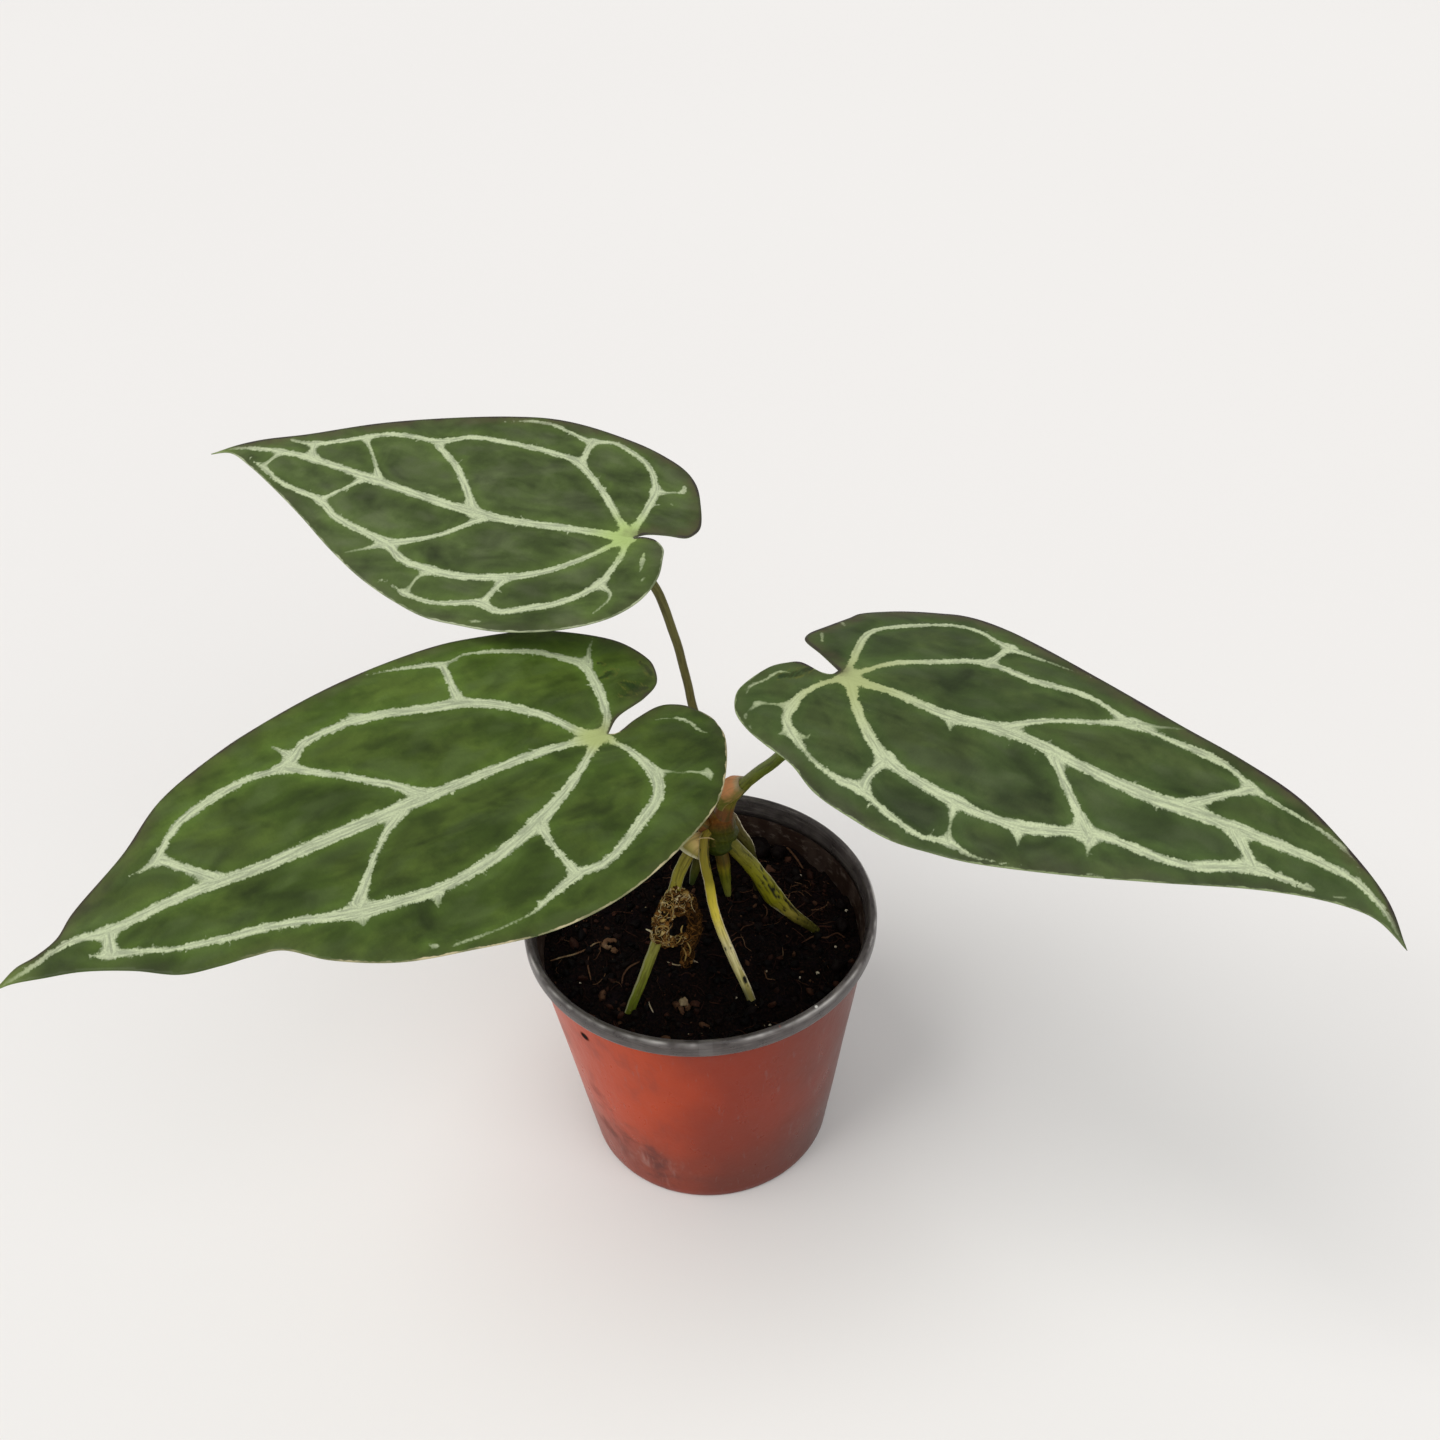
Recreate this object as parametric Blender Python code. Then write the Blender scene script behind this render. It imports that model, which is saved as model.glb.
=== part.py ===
"""Potted crystal anthurium: three veined heart-shaped leaves on slender petioles, in a nursery pot.

Metres in the scene, millimetres in this source. +Z is up and the origin is the centre of the
pot's underside. Seen from the front (looking along +Y) two leaves reach to the left and one to
the right. Every object is one closed body with a small gap to its neighbours.
"""
import math
import random

import bmesh
import bpy
import numpy as np
from mathutils.geometry import delaunay_2d_cdt

MM = 0.001
GAP = 0.3                # clearance between neighbouring pieces

# Pot: a thin tapered nursery pot with a rolled rim
POT_HEIGHT = 78.0
POT_RIM_RADIUS = 45.5
POT_NECK_RADIUS = 43.4   # outside of the wall just under the rim
POT_FOOT_RADIUS = 33.0
POT_WALL = 1.0
RIM_BAND = 5.2           # height of the rolled rim
RIM_THICK = 2.3
FLOOR_TOP = 3.0
FLOOR_RECESS = 2.0       # the ring between the centre pad and the foot stands clear by this
PAD_RADIUS = 9.0
FOOT_WIDTH = 5.5
DRAIN_HOLES = 6
DRAIN_RADIUS = 3.2
DRAIN_CIRCLE = 18.5
POT_SEGMENTS = 60

# Soil
SOIL_LEVEL = 64.5
SOIL_RELIEF = 1.5
SOIL_CHIPS = 13
SOIL_SEED = 4
SOIL_SEGMENTS = 36
SOIL_RINGS = (1.0, 0.84, 0.66, 0.46, 0.25, 0.08)   # shares of the soil's radius
GOLDEN = 0.618034        # spreads the chips evenly with no pattern

# Blades
BLADE_THICK = 0.8
RIB_TOP = 0.5            # relief of the vein net on the upper face
RIB_UNDER = 0.9          # and on the underside
RIB_STEP = 4.6           # spacing of the points along a vein
OUTLINE_STEP = 3.6
FILL_STEP = 8.0
SPAN = 135.0             # length over which droop, bend and twist build up
SEAT_U = 1.6             # the petiole meets the blade this far along the midrib
SEAT_RADIUS = 2.0
SEAT_HEIGHT = 1.0

# Stem stubs: the stretch of each petiole and root that has grown together with the stem
PETIOLE_STUB = 7.0
ROOT_STUB = 5.5
ROOT_DEPTH = 57.0        # roots end in the soil at about this height

# Each leaf: where the blade sits, how it is turned and curved (degrees), its margin from the
# notch to the tip on both sides, and its veins. u runs along the midrib and v to its left.
# A vein is its full width at the start and at the end, then the points that it passes.
LEAVES = {
    "back_left": {
        "seat": (-12.0, 24.0, 175.0),
        "azimuth": 162.0, "pitch": 3.0, "roll": -8.0,
        "droop": 13.5, "bend": -18.5, "twist": -21.5, "arch": 2.3, "fold": -0.7, "lobe": 5.5,
        "left": [(-1, 0), (-2.5, -1), (-6, -1), (-9, 1.5), (-10, 5), (-11, 12), (-9.5, 19.5), (-5.5, 25.5),
                 (0, 29.5), (8, 33), (18, 35), (27, 35), (35, 34.5), (43.5, 32), (55, 27.5), (68, 21),
                 (81, 14), (94, 8), (105.5, 3.5), (115, 1), (121, 2.5)],
        "right": [(-1, 0), (-3.5, -2), (-8, -3), (-13, -3.5), (-14.5, -5.5), (-15, -8), (-12.5, -16.5),
                  (-9, -24), (-4, -29), (5, -33), (16, -35), (27, -35.5), (35.5, -34.5), (45.5, -31.5),
                  (61, -25.5), (77.5, -18.5), (95, -10), (108, -5), (115, -1.5), (121, 2.5)],
        "veins": [
            (2.6, 1.2, [(0, 0), (16, 1), (34, 2), (62, -0.5), (89.5, -3), (104, -2.5), (115, -0.5)]),
            (2.0, 1.6, [(0.5, -1), (11.5, -13.5), (21, -21.5), (24, -22.5), (41, -22.5), (51.5, -21),
                        (58.5, -17.5), (71.5, -16), (91, -7.5), (101, -7)]),
            (2.2, 1.8, [(38.5, 1.5), (49, -10), (58, -16)]),
            (2.0, 1.5, [(-0.5, -1.5), (-1, -17), (0, -20), (5.5, -27.5), (12.5, -31), (21.5, -30),
                        (33.5, -32), (45.5, -29.5)]),
            (1.8, 1.4, [(0.5, 1), (8, 10), (13.5, 15), (21.5, 19), (34, 21.5), (46, 20.5), (54, 16.5),
                        (71.5, 12), (78.5, 8.5), (92.5, 5.5)]),
            (1.6, 1.6, [(35, 3), (43, 10.5), (54, 16)]),
            (1.8, 1.4, [(0, 1.5), (-0.5, 5.5), (1.5, 17), (7.5, 24), (19.5, 29.5), (33.5, 30), (48, 27.5)]),
            (1.6, 1.6, [(21, -30), (21, -27), (20.5, -22)]),
            (1.8, 1.8, [(22.5, 20.5), (24, 27)]),
        ],
        "petiole": [(5.8, 3.6, 103), (4.6, 7.4, 108), (3.4, 9.5, 115), (2.3, 11.1, 125.5),
                    (0.9, 13.5, 133.5), (-3.3, 19.3, 153), (-7.0, 22.6, 164)],
        "petiole_radii": (2.2, 1.15, 1.05, 1.1, 1.3),
    },
    "front_left": {
        "seat": (-18.5, -25.0, 156.0),
        "azimuth": -151.0, "pitch": 3.0, "roll": -7.5,
        "droop": 12.5, "bend": 0.0, "twist": -7.5, "arch": 3.0, "fold": -5.0, "lobe": 3.5,
        "left": [(-2, 0), (-3.5, 0.5), (-9, -1.5), (-16, -3), (-19.5, -2), (-22, 0), (-24.5, 5.5),
                 (-24.5, 8.5), (-24, 12), (-19.5, 20.5), (-13, 28.5), (-5.5, 33.5), (8, 39.5), (17, 42),
                 (26.5, 43), (34.5, 42.5), (47, 39.5), (60, 35.5), (71.5, 28.5), (78.5, 22), (84, 20.5),
                 (89.5, 19.5), (96.5, 17.5), (104, 12), (112.5, 7), (119, 4.5), (124.5, 2.5), (127.5, 2)],
        "right": [(-2, 0), (-6, -3.5), (-14.5, -6.5), (-19, -9.5), (-21, -14.5), (-21, -17.5),
                  (-17.5, -25.5), (-7, -34), (1, -37.5), (10.5, -39.5), (19.5, -40.5), (34, -39.5),
                  (48.5, -37), (63.5, -33), (72.5, -30), (87.5, -23), (98, -14), (110.5, -6), (114.5, -2.5),
                  (119, -1), (123, -0.5), (127.5, 2)],
        "veins": [
            (2.4, 1.4, [(0, 0), (12.5, -1), (40, 0), (71.5, 1.5), (91, 0.5), (106, 1), (112.5, -0.5),
                        (120, 1)]),
            (2.4, 1.6, [(0.5, -0.5), (3.5, -3), (9, -11), (19.5, -19.5), (30, -22.5), (44, -25.5),
                        (57, -24), (62.5, -20), (70, -20), (78.5, -18.5), (85.5, -16), (91.5, -11),
                        (99, -8.5)]),
            (2.0, 2.2, [(84, -0.5), (91.5, -9)]),
            (2.6, 2.4, [(40, -0.5), (44.5, -5.5), (62.5, -19.5)]),
            (2.4, 1.4, [(-1, -0.5), (-5, -8), (-6.5, -17.5), (-6, -22), (0.5, -29), (10.5, -33.5),
                        (20.5, -34), (31, -36)]),
            (2.2, 1.6, [(23, -22.5), (22, -33)]),
            (2.2, 1.6, [(1.5, 1.5), (13, 11), (25, 18), (36, 22), (47, 23.5), (61.5, 21.5), (75, 17),
                        (93, 12.5), (107, 6)]),
            (2.6, 2.6, [(46, 1.5), (52.5, 7), (62, 19)]),
            (2.4, 1.4, [(-1.5, 2), (-3.5, 8), (-4.5, 16.5), (-0.5, 23.5), (9.5, 30), (20, 33), (33, 36.5)]),
            (2.6, 2.0, [(22.5, 17), (23, 23.5), (22, 32.5)]),
            (2.0, 1.4, [(-5, 15.5), (-14, 20)]),
        ],
        "petiole": [(5.0, 2.8, 101.5), (0.8, 1.0, 106.5), (-3.4, -3.2, 114.5), (-9.0, -10.4, 128),
                    (-14.2, -17.8, 141), (-18.0, -23.4, 150)],
        "petiole_radii": (2.2, 1.3, 1.2, 1.2, 1.35),
    },
    "right": {
        "seat": (34.0, -28.0, 171.0),
        "azimuth": -33.5, "pitch": 0.5, "roll": 4.5,
        "droop": 25.0, "bend": 2.0, "twist": 19.5, "arch": 2.5, "fold": 5.5, "lobe": 9.5,
        "left": [(-3, 1.5), (-9, 5), (-15, 8.5), (-15.5, 11), (-13.5, 16), (-11, 21.5), (-10, 24),
                 (-4.5, 28), (1, 30.5), (6, 32), (10, 33), (15, 33), (22.5, 31.5), (30.5, 29), (46, 24),
                 (64.5, 19), (78, 16.5), (90.5, 13.5), (102, 8), (112, 2), (119, -5)],
        "right": [(-3, 1.5), (-3.5, 0), (-5.5, -0.5), (-11.5, 0.5), (-14, -1), (-16.5, -3.5), (-19, -10.5),
                  (-19, -13.5), (-16.5, -18), (-12, -21), (-6.5, -23), (0.5, -25), (8, -29), (17, -31),
                  (26, -32), (34, -31), (41.5, -29.5), (57.5, -24), (74, -17), (90, -9.5), (100, -5.5),
                  (107, -3.5), (112, -3), (119, -5)],
        "veins": [
            (2.4, 1.4, [(0, 0), (12, 0.2), (23.5, -1), (36, 0.5), (60, -1.5), (80, 0), (102.5, 2),
                        (110, 0.5)]),
            (2.0, 1.2, [(0, 1), (7, 10), (12.5, 13), (23, 18), (33.5, 17), (46, 17.5), (56.5, 14.5),
                        (74.5, 13.5), (82, 10.5), (100, 7)]),
            (2.2, 2.0, [(73, 1), (82, 10.5)]),
            (2.2, 2.2, [(34, 0.5), (40, 6), (56.5, 14.5)]),
            (2.2, 1.4, [(-1, 2.5), (-4, 16.5), (-2.5, 20), (8, 27), (15.5, 28.5), (25.5, 25), (37, 23.5)]),
            (2.0, 1.8, [(23.5, 18), (25.5, 25.5)]),
            (2.2, 1.2, [(1, -1), (8, -9), (16.5, -15.5), (33.5, -19), (46, -18.5), (62, -13), (76.5, -11.5),
                        (88.5, -5.5), (97, -3.5)]),
            (3.0, 2.4, [(82.5, -0.5), (88, -5.5)]),
            (2.0, 2.8, [(46, -1.5), (58.5, -14)]),
            (1.6, 1.2, [(-1, 0), (-6, -7.5), (-6.5, -13.5), (-5.5, -16), (4.5, -22), (16, -24.5),
                        (24.5, -27.5), (36, -27)]),
            (2.4, 2.0, [(17, -16), (16, -24)]),
        ],
        "petiole": [(6.2, 2.8, 103.5), (8.4, 2.1, 111), (10.4, 0.3, 115), (15.7, -4.7, 125),
                    (20.7, -9.8, 135.2), (25.4, -15.2, 146), (31.2, -23.0, 161)],
        "petiole_radii": (2.7, 1.5, 1.4, 1.4, 1.5),
    },
}

# Roots: centre line from inside the stem down into the soil, and radii spread evenly along it
ROOTS = {
    "root_left": {
        "path": [(4.0, 1.8, 101), (-0.5, -0.6, 99.6), (-4.3, -3.9, 94.6), (-6, -6.3, 90.6),
                 (-9.1, -9.4, 85), (-11.1, -12.9, 79.2), (-15.7, -18.4, 69.7), (-18.8, -21.6, 63),
                 (-20.5, -23.5, ROOT_DEPTH)],
        "radii": (1.7, 1.55, 1.4, 1.35, 1.25, 1.1),
    },
    "root_center": {
        "path": [(5.0, 2.4, 103.8), (2.4, -0.8, 103.2), (1.9, -2.7, 100.4), (2, -4.4, 97),
                 (2.8, -6.9, 92.3), (3.5, -9.2, 87.6), (4.8, -11.5, 82.8), (8.6, -16.2, 73.1),
                 (12, -20.3, 65), (14.2, -23, ROOT_DEPTH)],
        "radii": (1.3, 1.25, 1.2, 1.25, 1.15, 1.0),
    },
    "root_right": {
        "path": [(5.5, 2.4, 101), (9.0, 1.2, 98.8), (13.3, 1.4, 91.6), (16.2, 1.4, 85.4), (18.7, 1.3, 79.8),
                 (22, 1.5, 74.7), (26.3, 2.0, 69.4), (29.9, 2.4, 65), (34, 2.8, ROOT_DEPTH + 2.5)],
        "radii": (1.75, 1.9, 2.0, 2.5, 1.6, 1.2, 1.0),
    },
    "root_back": {
        "path": [(6.2, 3.4, 102.5), (9.4, 6.6, 102.3), (10.9, 8.6, 98.3), (12.3, 10.8, 93),
                 (13.7, 13.1, 86.6), (14.4, 15.8, 77.9), (15.4, 18.6, 68.4), (16, 20.4, ROOT_DEPTH)],
        "radii": (1.5, 1.5, 1.45, 1.4, 1.3, 1.2),
    },
}

# Short root tips that have not reached the soil, grown from the stem
ROOT_TIPS = [
    ([(5.4, 1.6, 98.5), (6.4, 0.9, 94), (6.7, 0.7, 89.5), (7.5, 0.2, 81)], (1.5, 1.3, 1.1, 0.6)),
    ([(3.6, 1.2, 98.5), (0.9, -0.2, 96.5), (-0.4, -0.6, 92.5), (-1.8, -0.6, 86.5)], (1.2, 1.0, 0.9, 0.5)),
    ([(2.6, 2.0, 99.0), (-1.8, 1.2, 97.2), (-4.2, 0.2, 93.5)], (1.1, 0.9, 0.5)),
]

STEM_PATH = [(5.0, 2.2, 95.5), (5.4, 2.4, 98.5), (6.0, 2.8, 102.8), (6.5, 3.1, 106.6), (6.8, 3.3, 108.4)]
STEM_RADII = (2.2, 4.4, 4.5, 3.4, 1.8)

# Mat of old fibre and peat round the left root: a sleeve on the root and a lobe down to the soil
FIBRE_SLEEVE = [(-5.7, -6.0, 91.2), (-7.5, -7.8, 88), (-9.1, -9.4, 85), (-10.3, -11.4, 82),
                (-11.3, -13.1, 78.8)]
FIBRE_SLEEVE_RADII = (2.4, 3.0, 3.2, 3.0, 2.3)
FIBRE_LOBE = [(-5.6, -6.2, 88.4), (-5.0, -6.0, 84), (-5.0, -6.0, 78), (-5.3, -6.6, 71),
              (-5.4, -7.4, ROOT_DEPTH + 3.0)]
FIBRE_LOBE_RADII = (2.0, 3.4, 4.0, 3.8, 2.2)

# Papery scales: the stretch of the limb that each wraps, its clearance at both ends, the side
# that it covers and how far round it goes from there (degrees)
SCALE_THICK = 0.7
SCALES = {
    "sheath_right": {
        "from": 7.7, "to": 17.0, "clear": (0.35, 1.4), "facing": (-1.0, 0.1, 0.35),
        "half_angles": (80, 85, 75, 48), "colour": (0.50, 0.22, 0.14),
    },
    "sheath_left": {
        "from": 5.8, "to": 10.0, "clear": (0.45, 0.9), "facing": (-0.3, -0.9, 0.5),
        "half_angles": (95, 110, 110), "colour": (0.55, 0.38, 0.24),
    },
}


def spline(points, step):
    """Points on a smooth curve through the given ones, evenly spaced about one step apart."""
    p = np.asarray(points, float)
    p = np.vstack([2 * p[0] - p[1], p, 2 * p[-1] - p[-2]])
    fine = [p[1]]
    for a, b, c, d in zip(p, p[1:], p[2:], p[3:]):
        t1 = math.sqrt(np.linalg.norm(b - a))
        t2 = t1 + math.sqrt(np.linalg.norm(c - b))
        t3 = t2 + math.sqrt(np.linalg.norm(d - c))
        for t in np.linspace(t1, t2, 13)[1:]:
            ab = a + (b - a) * t / t1
            bc = b + (c - b) * (t - t1) / (t2 - t1)
            cd = c + (d - c) * (t - t2) / (t3 - t2)
            abc = ab + (bc - ab) * t / t2
            bcd = bc + (cd - bc) * (t - t1) / (t3 - t1)
            fine.append(abc + (bcd - abc) * (t - t1) / (t2 - t1))
    fine = np.array(fine)
    along = arc_length(fine)
    count = max(1, round(along[-1] / step))
    return at_length(fine, np.linspace(0, along[-1], count + 1))


def arc_length(path):
    """Distance along a polyline at each of its points."""
    return np.concatenate([[0.0], np.cumsum(np.linalg.norm(np.diff(path, axis=0), axis=1))])


def at_length(path, lengths):
    """Points at the given distances along a polyline."""
    along = arc_length(path)
    return np.stack([np.interp(lengths, along, path[:, k]) for k in range(path.shape[1])], axis=1)


def spread(values, count):
    """The given values spread evenly over a number of stations."""
    return np.interp(np.linspace(0, 1, count), np.linspace(0, 1, len(values)), values)


def frames(path):
    """Tangent and two side directions at each point of a path, with no sudden turn between them."""
    tangents = np.gradient(path, axis=0)
    tangents[0] = path[1] - path[0]
    tangents[-1] = path[-1] - path[-2]
    tangents /= np.linalg.norm(tangents, axis=1)[:, None]
    side = np.cross(tangents[0], (0.35, -0.9, 0.2))
    result = []
    for t in tangents:
        side = side - t * side.dot(t)
        side /= np.linalg.norm(side)
        result.append((t, side, np.cross(t, side)))
    return result


def new_object(name, verts, faces):
    """An object from vertices in millimetres and faces."""
    mesh = bpy.data.meshes.new(name)
    mesh.from_pydata([tuple(float(c) * MM for c in v) for v in verts], [], faces)
    bm = bmesh.new()
    bm.from_mesh(mesh)
    bmesh.ops.recalc_face_normals(bm, faces=bm.faces)
    bmesh.ops.triangulate(bm, faces=[f for f in bm.faces if len(f.verts) > 4])
    bm.to_mesh(mesh)
    bm.free()
    obj = bpy.data.objects.new(name, mesh)
    bpy.context.scene.collection.objects.link(obj)
    return obj


def loft(name, rings):
    """An object through rings of equal point counts, with flat ends."""
    count = len(rings[0])
    verts = [v for ring in rings for v in ring]
    faces = []
    for k in range(len(rings) - 1):
        for i in range(count):
            j = (i + 1) % count
            faces.append((k * count + i, k * count + j, (k + 1) * count + j, (k + 1) * count + i))
    faces.append(tuple(range(count)))
    faces.append(tuple((len(rings) - 1) * count + i for i in range(count)))
    return new_object(name, verts, faces)


def tube(name, path, radii, sides=9, lump=0.0):
    """A round solid along a path. A lump above zero makes its skin knobbly by a fixed formula."""
    rings = []
    for k, ((_, a, b), centre, radius) in enumerate(zip(frames(path), path, spread(radii, len(path)))):
        ring = []
        for i in range(sides):
            angle = math.tau * i / sides
            swell = 1 + lump * math.sin(3.1 * i + 2.3 * k) * math.cos(1.7 * i - 2.9 * k)
            ring.append(centre + radius * swell * (math.cos(angle) * a + math.sin(angle) * b))
        rings.append(ring)
    return loft(name, rings)


def boolean(target, others, operation):
    """Applies a Boolean with a list of objects, then removes them."""
    tools = bpy.data.collections.new("tools")
    bpy.context.scene.collection.children.link(tools)
    for other in others:
        bpy.context.scene.collection.objects.unlink(other)
        tools.objects.link(other)
    modifier = target.modifiers.new("cut", "BOOLEAN")
    modifier.operation = operation
    modifier.solver = "EXACT"
    modifier.operand_type = "COLLECTION"
    modifier.collection = tools
    graph = bpy.context.evaluated_depsgraph_get()
    mesh = bpy.data.meshes.new_from_object(target.evaluated_get(graph))
    target.modifiers.clear()
    target.data = mesh
    for other in others:
        bpy.data.objects.remove(other, do_unlink=True)
    bpy.data.collections.remove(tools)


def dress(obj, colour, roughness, smooth=True):
    """Gives an object its own material and shading."""
    material = bpy.data.materials.new(obj.name)
    material.use_nodes = True
    shader = material.node_tree.nodes["Principled BSDF"]
    shader.inputs["Base Color"].default_value = (*colour, 1.0)
    shader.inputs["Roughness"].default_value = roughness
    shader.inputs["Metallic"].default_value = 0.0
    obj.data.materials.clear()
    obj.data.materials.append(material)
    if smooth:
        obj.data.shade_smooth()
        obj.data.set_sharp_from_angle(angle=math.radians(40))


# Pot

def wall_radius(z):
    """Outside radius of the pot's wall at a height."""
    low, high = 1.0, POT_HEIGHT - RIM_BAND
    return POT_FOOT_RADIUS + (POT_NECK_RADIUS - POT_FOOT_RADIUS) * (z - low) / (high - low)


def make_pot():
    """The turned pot shell with its drain holes."""
    rim_low = POT_HEIGHT - RIM_BAND
    rim_in = POT_RIM_RADIUS - RIM_THICK
    profile = [
        (PAD_RADIUS, 0), (PAD_RADIUS + 1.5, FLOOR_RECESS),
        (POT_FOOT_RADIUS - FOOT_WIDTH - 1.5, FLOOR_RECESS), (POT_FOOT_RADIUS - FOOT_WIDTH, 0),
        (POT_FOOT_RADIUS - 1.0, 0), (POT_FOOT_RADIUS, 1.0),
        (wall_radius(rim_low), rim_low), (POT_RIM_RADIUS - 0.7, rim_low + 0.3),
        (POT_RIM_RADIUS, rim_low + 1.2), (POT_RIM_RADIUS, POT_HEIGHT - 1.0),
        (POT_RIM_RADIUS - 0.6, POT_HEIGHT - 0.2), (POT_RIM_RADIUS - 1.2, POT_HEIGHT),
        (rim_in + 0.4, POT_HEIGHT - 0.4), (rim_in - 0.1, POT_HEIGHT - 1.6),
        (wall_radius(rim_low) - POT_WALL, rim_low - 0.8),
        (wall_radius(FLOOR_TOP + 1.5) - POT_WALL, FLOOR_TOP + 1.5),
        (wall_radius(FLOOR_TOP) - POT_WALL - 1.4, FLOOR_TOP),
    ]
    rings = []
    for radius, z in profile:
        ring = []
        for i in range(POT_SEGMENTS):
            angle = math.tau * i / POT_SEGMENTS
            ring.append((radius * math.cos(angle), radius * math.sin(angle), z))
        rings.append(ring)
    pot = loft("pot", rings)
    drills = []
    for i in range(DRAIN_HOLES):
        angle = math.tau * (i + 0.5) / DRAIN_HOLES
        x, y = DRAIN_CIRCLE * math.cos(angle), DRAIN_CIRCLE * math.sin(angle)
        drill = np.array([(x, y, -1.0), (x, y, FLOOR_TOP + 1.0)])
        drills.append(tube("drill", drill, (DRAIN_RADIUS, DRAIN_RADIUS), 14))
    boolean(pot, drills, "DIFFERENCE")
    dress(pot, (0.55, 0.16, 0.10), 0.38)


# Soil

def soil_height(x, y):
    """Height of the soil's surface before its chips."""
    waves = math.sin(0.21 * x + 0.8) * math.cos(0.17 * y - 0.4) + 0.6 * math.sin(0.43 * x - 0.31 * y)
    return SOIL_LEVEL + SOIL_RELIEF * 0.6 * waves


def make_soil():
    """The soil in the pot, with fused chips and plain holes for what stands in it."""
    rng = random.Random(SOIL_SEED)
    edge = wall_radius(SOIL_LEVEL) - POT_WALL - GAP
    low = wall_radius(FLOOR_TOP + 2) - POT_WALL - GAP
    angles = np.linspace(0, math.tau, SOIL_SEGMENTS, endpoint=False)
    rings = []
    for radius, z in ((low - 1.8, FLOOR_TOP + GAP), (low - 0.2, FLOOR_TOP + GAP + 1.6)):
        rings.append([(radius * math.cos(angle), radius * math.sin(angle), z) for angle in angles])
    for share in SOIL_RINGS:
        ring = []
        for angle in angles:
            x, y = edge * share * math.cos(angle), edge * share * math.sin(angle)
            rise = rng.uniform(-0.5, 0.5) * SOIL_RELIEF if share < 1.0 else -1.0
            ring.append((x, y, soil_height(x, y) + rise * min(1.0, share * 3)))
        rings.append(ring)
    soil = loft("soil", rings)
    chips = []
    for k in range(SOIL_CHIPS):
        angle = math.tau * (0.1 - k * GOLDEN)
        radius = edge * (0.32 + 0.52 * ((k * GOLDEN) % 1.0))
        x, y = radius * math.cos(angle), radius * math.sin(angle)
        size = rng.uniform(1.8, 3.2)
        turn = rng.uniform(0, math.pi)
        lean = rng.uniform(-0.5, 0.5)
        reach = np.array([math.cos(turn), math.sin(turn), lean * 0.4]) * size
        centre = np.array([x, y, soil_height(x, y) + 0.3])
        chips.append(tube("chip", np.array([centre - reach, centre, centre + reach]),
                          (size * 0.45, size * 0.75, size * 0.4), 6))
    boolean(soil, chips, "UNION")
    boolean(soil, soil_cutters(), "DIFFERENCE")
    dress(soil, (0.018, 0.013, 0.010), 0.95, smooth=False)


def soil_cutters():
    """Solids that open a plain hole round each root and round the foot of the fibre mat."""
    cutters = []
    for spec in list(ROOTS.values()) + [{"path": FIBRE_LOBE, "radii": FIBRE_LOBE_RADII}]:
        path = spline(spec["path"], 2.0)
        reach = path[-1] - path[-2]
        path = np.vstack([path, path[-1] + reach / np.linalg.norm(reach) * GAP])
        radii = spread(spec["radii"], len(path))
        low = path[:, 2] < SOIL_LEVEL + 7.0
        cutters.append(tube("hole", path[low], radii[low] * 1.14 + GAP * 1.4, 12))
    return cutters


# Leaves

class BladeSurface:
    """The upper face of a blade as a curved surface over its length u and width v."""

    def __init__(self, leaf):
        self.leaf = leaf
        azimuth, pitch, roll = (math.radians(leaf[k]) for k in ("azimuth", "pitch", "roll"))
        forward = np.array([math.cos(azimuth), math.sin(azimuth), 0.0]) * math.cos(pitch)
        forward[2] = math.sin(pitch)
        level = np.array([-math.sin(azimuth), math.cos(azimuth), 0.0])
        left = level * math.cos(roll) + np.cross(forward, level) * math.sin(roll)
        self.axes = np.stack([forward, left, np.cross(forward, left)])
        self.u = np.linspace(-0.5 * SPAN, 1.15 * SPAN, 661)
        self.droop, self.turn = self.angles(self.u)
        step = self.u[1] - self.u[0]
        level, fall = np.cos(self.droop), -np.sin(self.droop)
        self.line = []
        for slope in (level * np.cos(self.turn), level * np.sin(self.turn), fall):
            total = np.concatenate([[0.0], np.cumsum((slope[1:] + slope[:-1]) / 2) * step])
            self.line.append(total - np.interp(0.0, self.u, total))

    def angles(self, u):
        """Droop and sideways turn of the midrib, in radians, at distance u."""
        t = u / SPAN
        droop, lobe = math.radians(self.leaf["droop"]), math.radians(self.leaf["lobe"])
        droop = np.where(t > 0, droop * np.abs(t) ** 1.5, lobe * t)
        turn = np.where(t > 0, math.radians(self.leaf["bend"]) * t, 0.0)
        return droop, turn

    def point(self, u, v):
        """World points of the surface."""
        u, v = np.asarray(u, float), np.asarray(v, float)
        x, y, z = (np.interp(u, self.u, line) for line in self.line)
        droop, turn = self.angles(u)
        twist = math.radians(self.leaf["twist"]) * np.clip(u / SPAN, -0.5, 1.2)
        fold = math.radians(self.leaf["fold"])
        sag = math.sin(fold) * (np.sqrt(v * v + 4.0) - 2.0) + 0.0005 * self.leaf["arch"] * v * v
        side = v * math.cos(fold)
        across = side * np.cos(twist) + sag * np.sin(twist)
        down = sag * np.cos(twist) - side * np.sin(twist)
        x = x - across * np.sin(turn) - down * np.sin(droop) * np.cos(turn)
        y = y + across * np.cos(turn) - down * np.sin(droop) * np.sin(turn)
        z = z - down * np.cos(droop)
        return np.stack([x, y, z], axis=-1) @ self.axes + np.array(self.leaf["seat"])

    def normal(self, u, v):
        """Upward unit normals of the surface."""
        along = self.point(u + 0.5, v) - self.point(u - 0.5, v)
        across = self.point(u, v + 0.5) - self.point(u, v - 0.5)
        normals = np.cross(along, across)
        return normals / np.linalg.norm(normals, axis=-1, keepdims=True)


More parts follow.
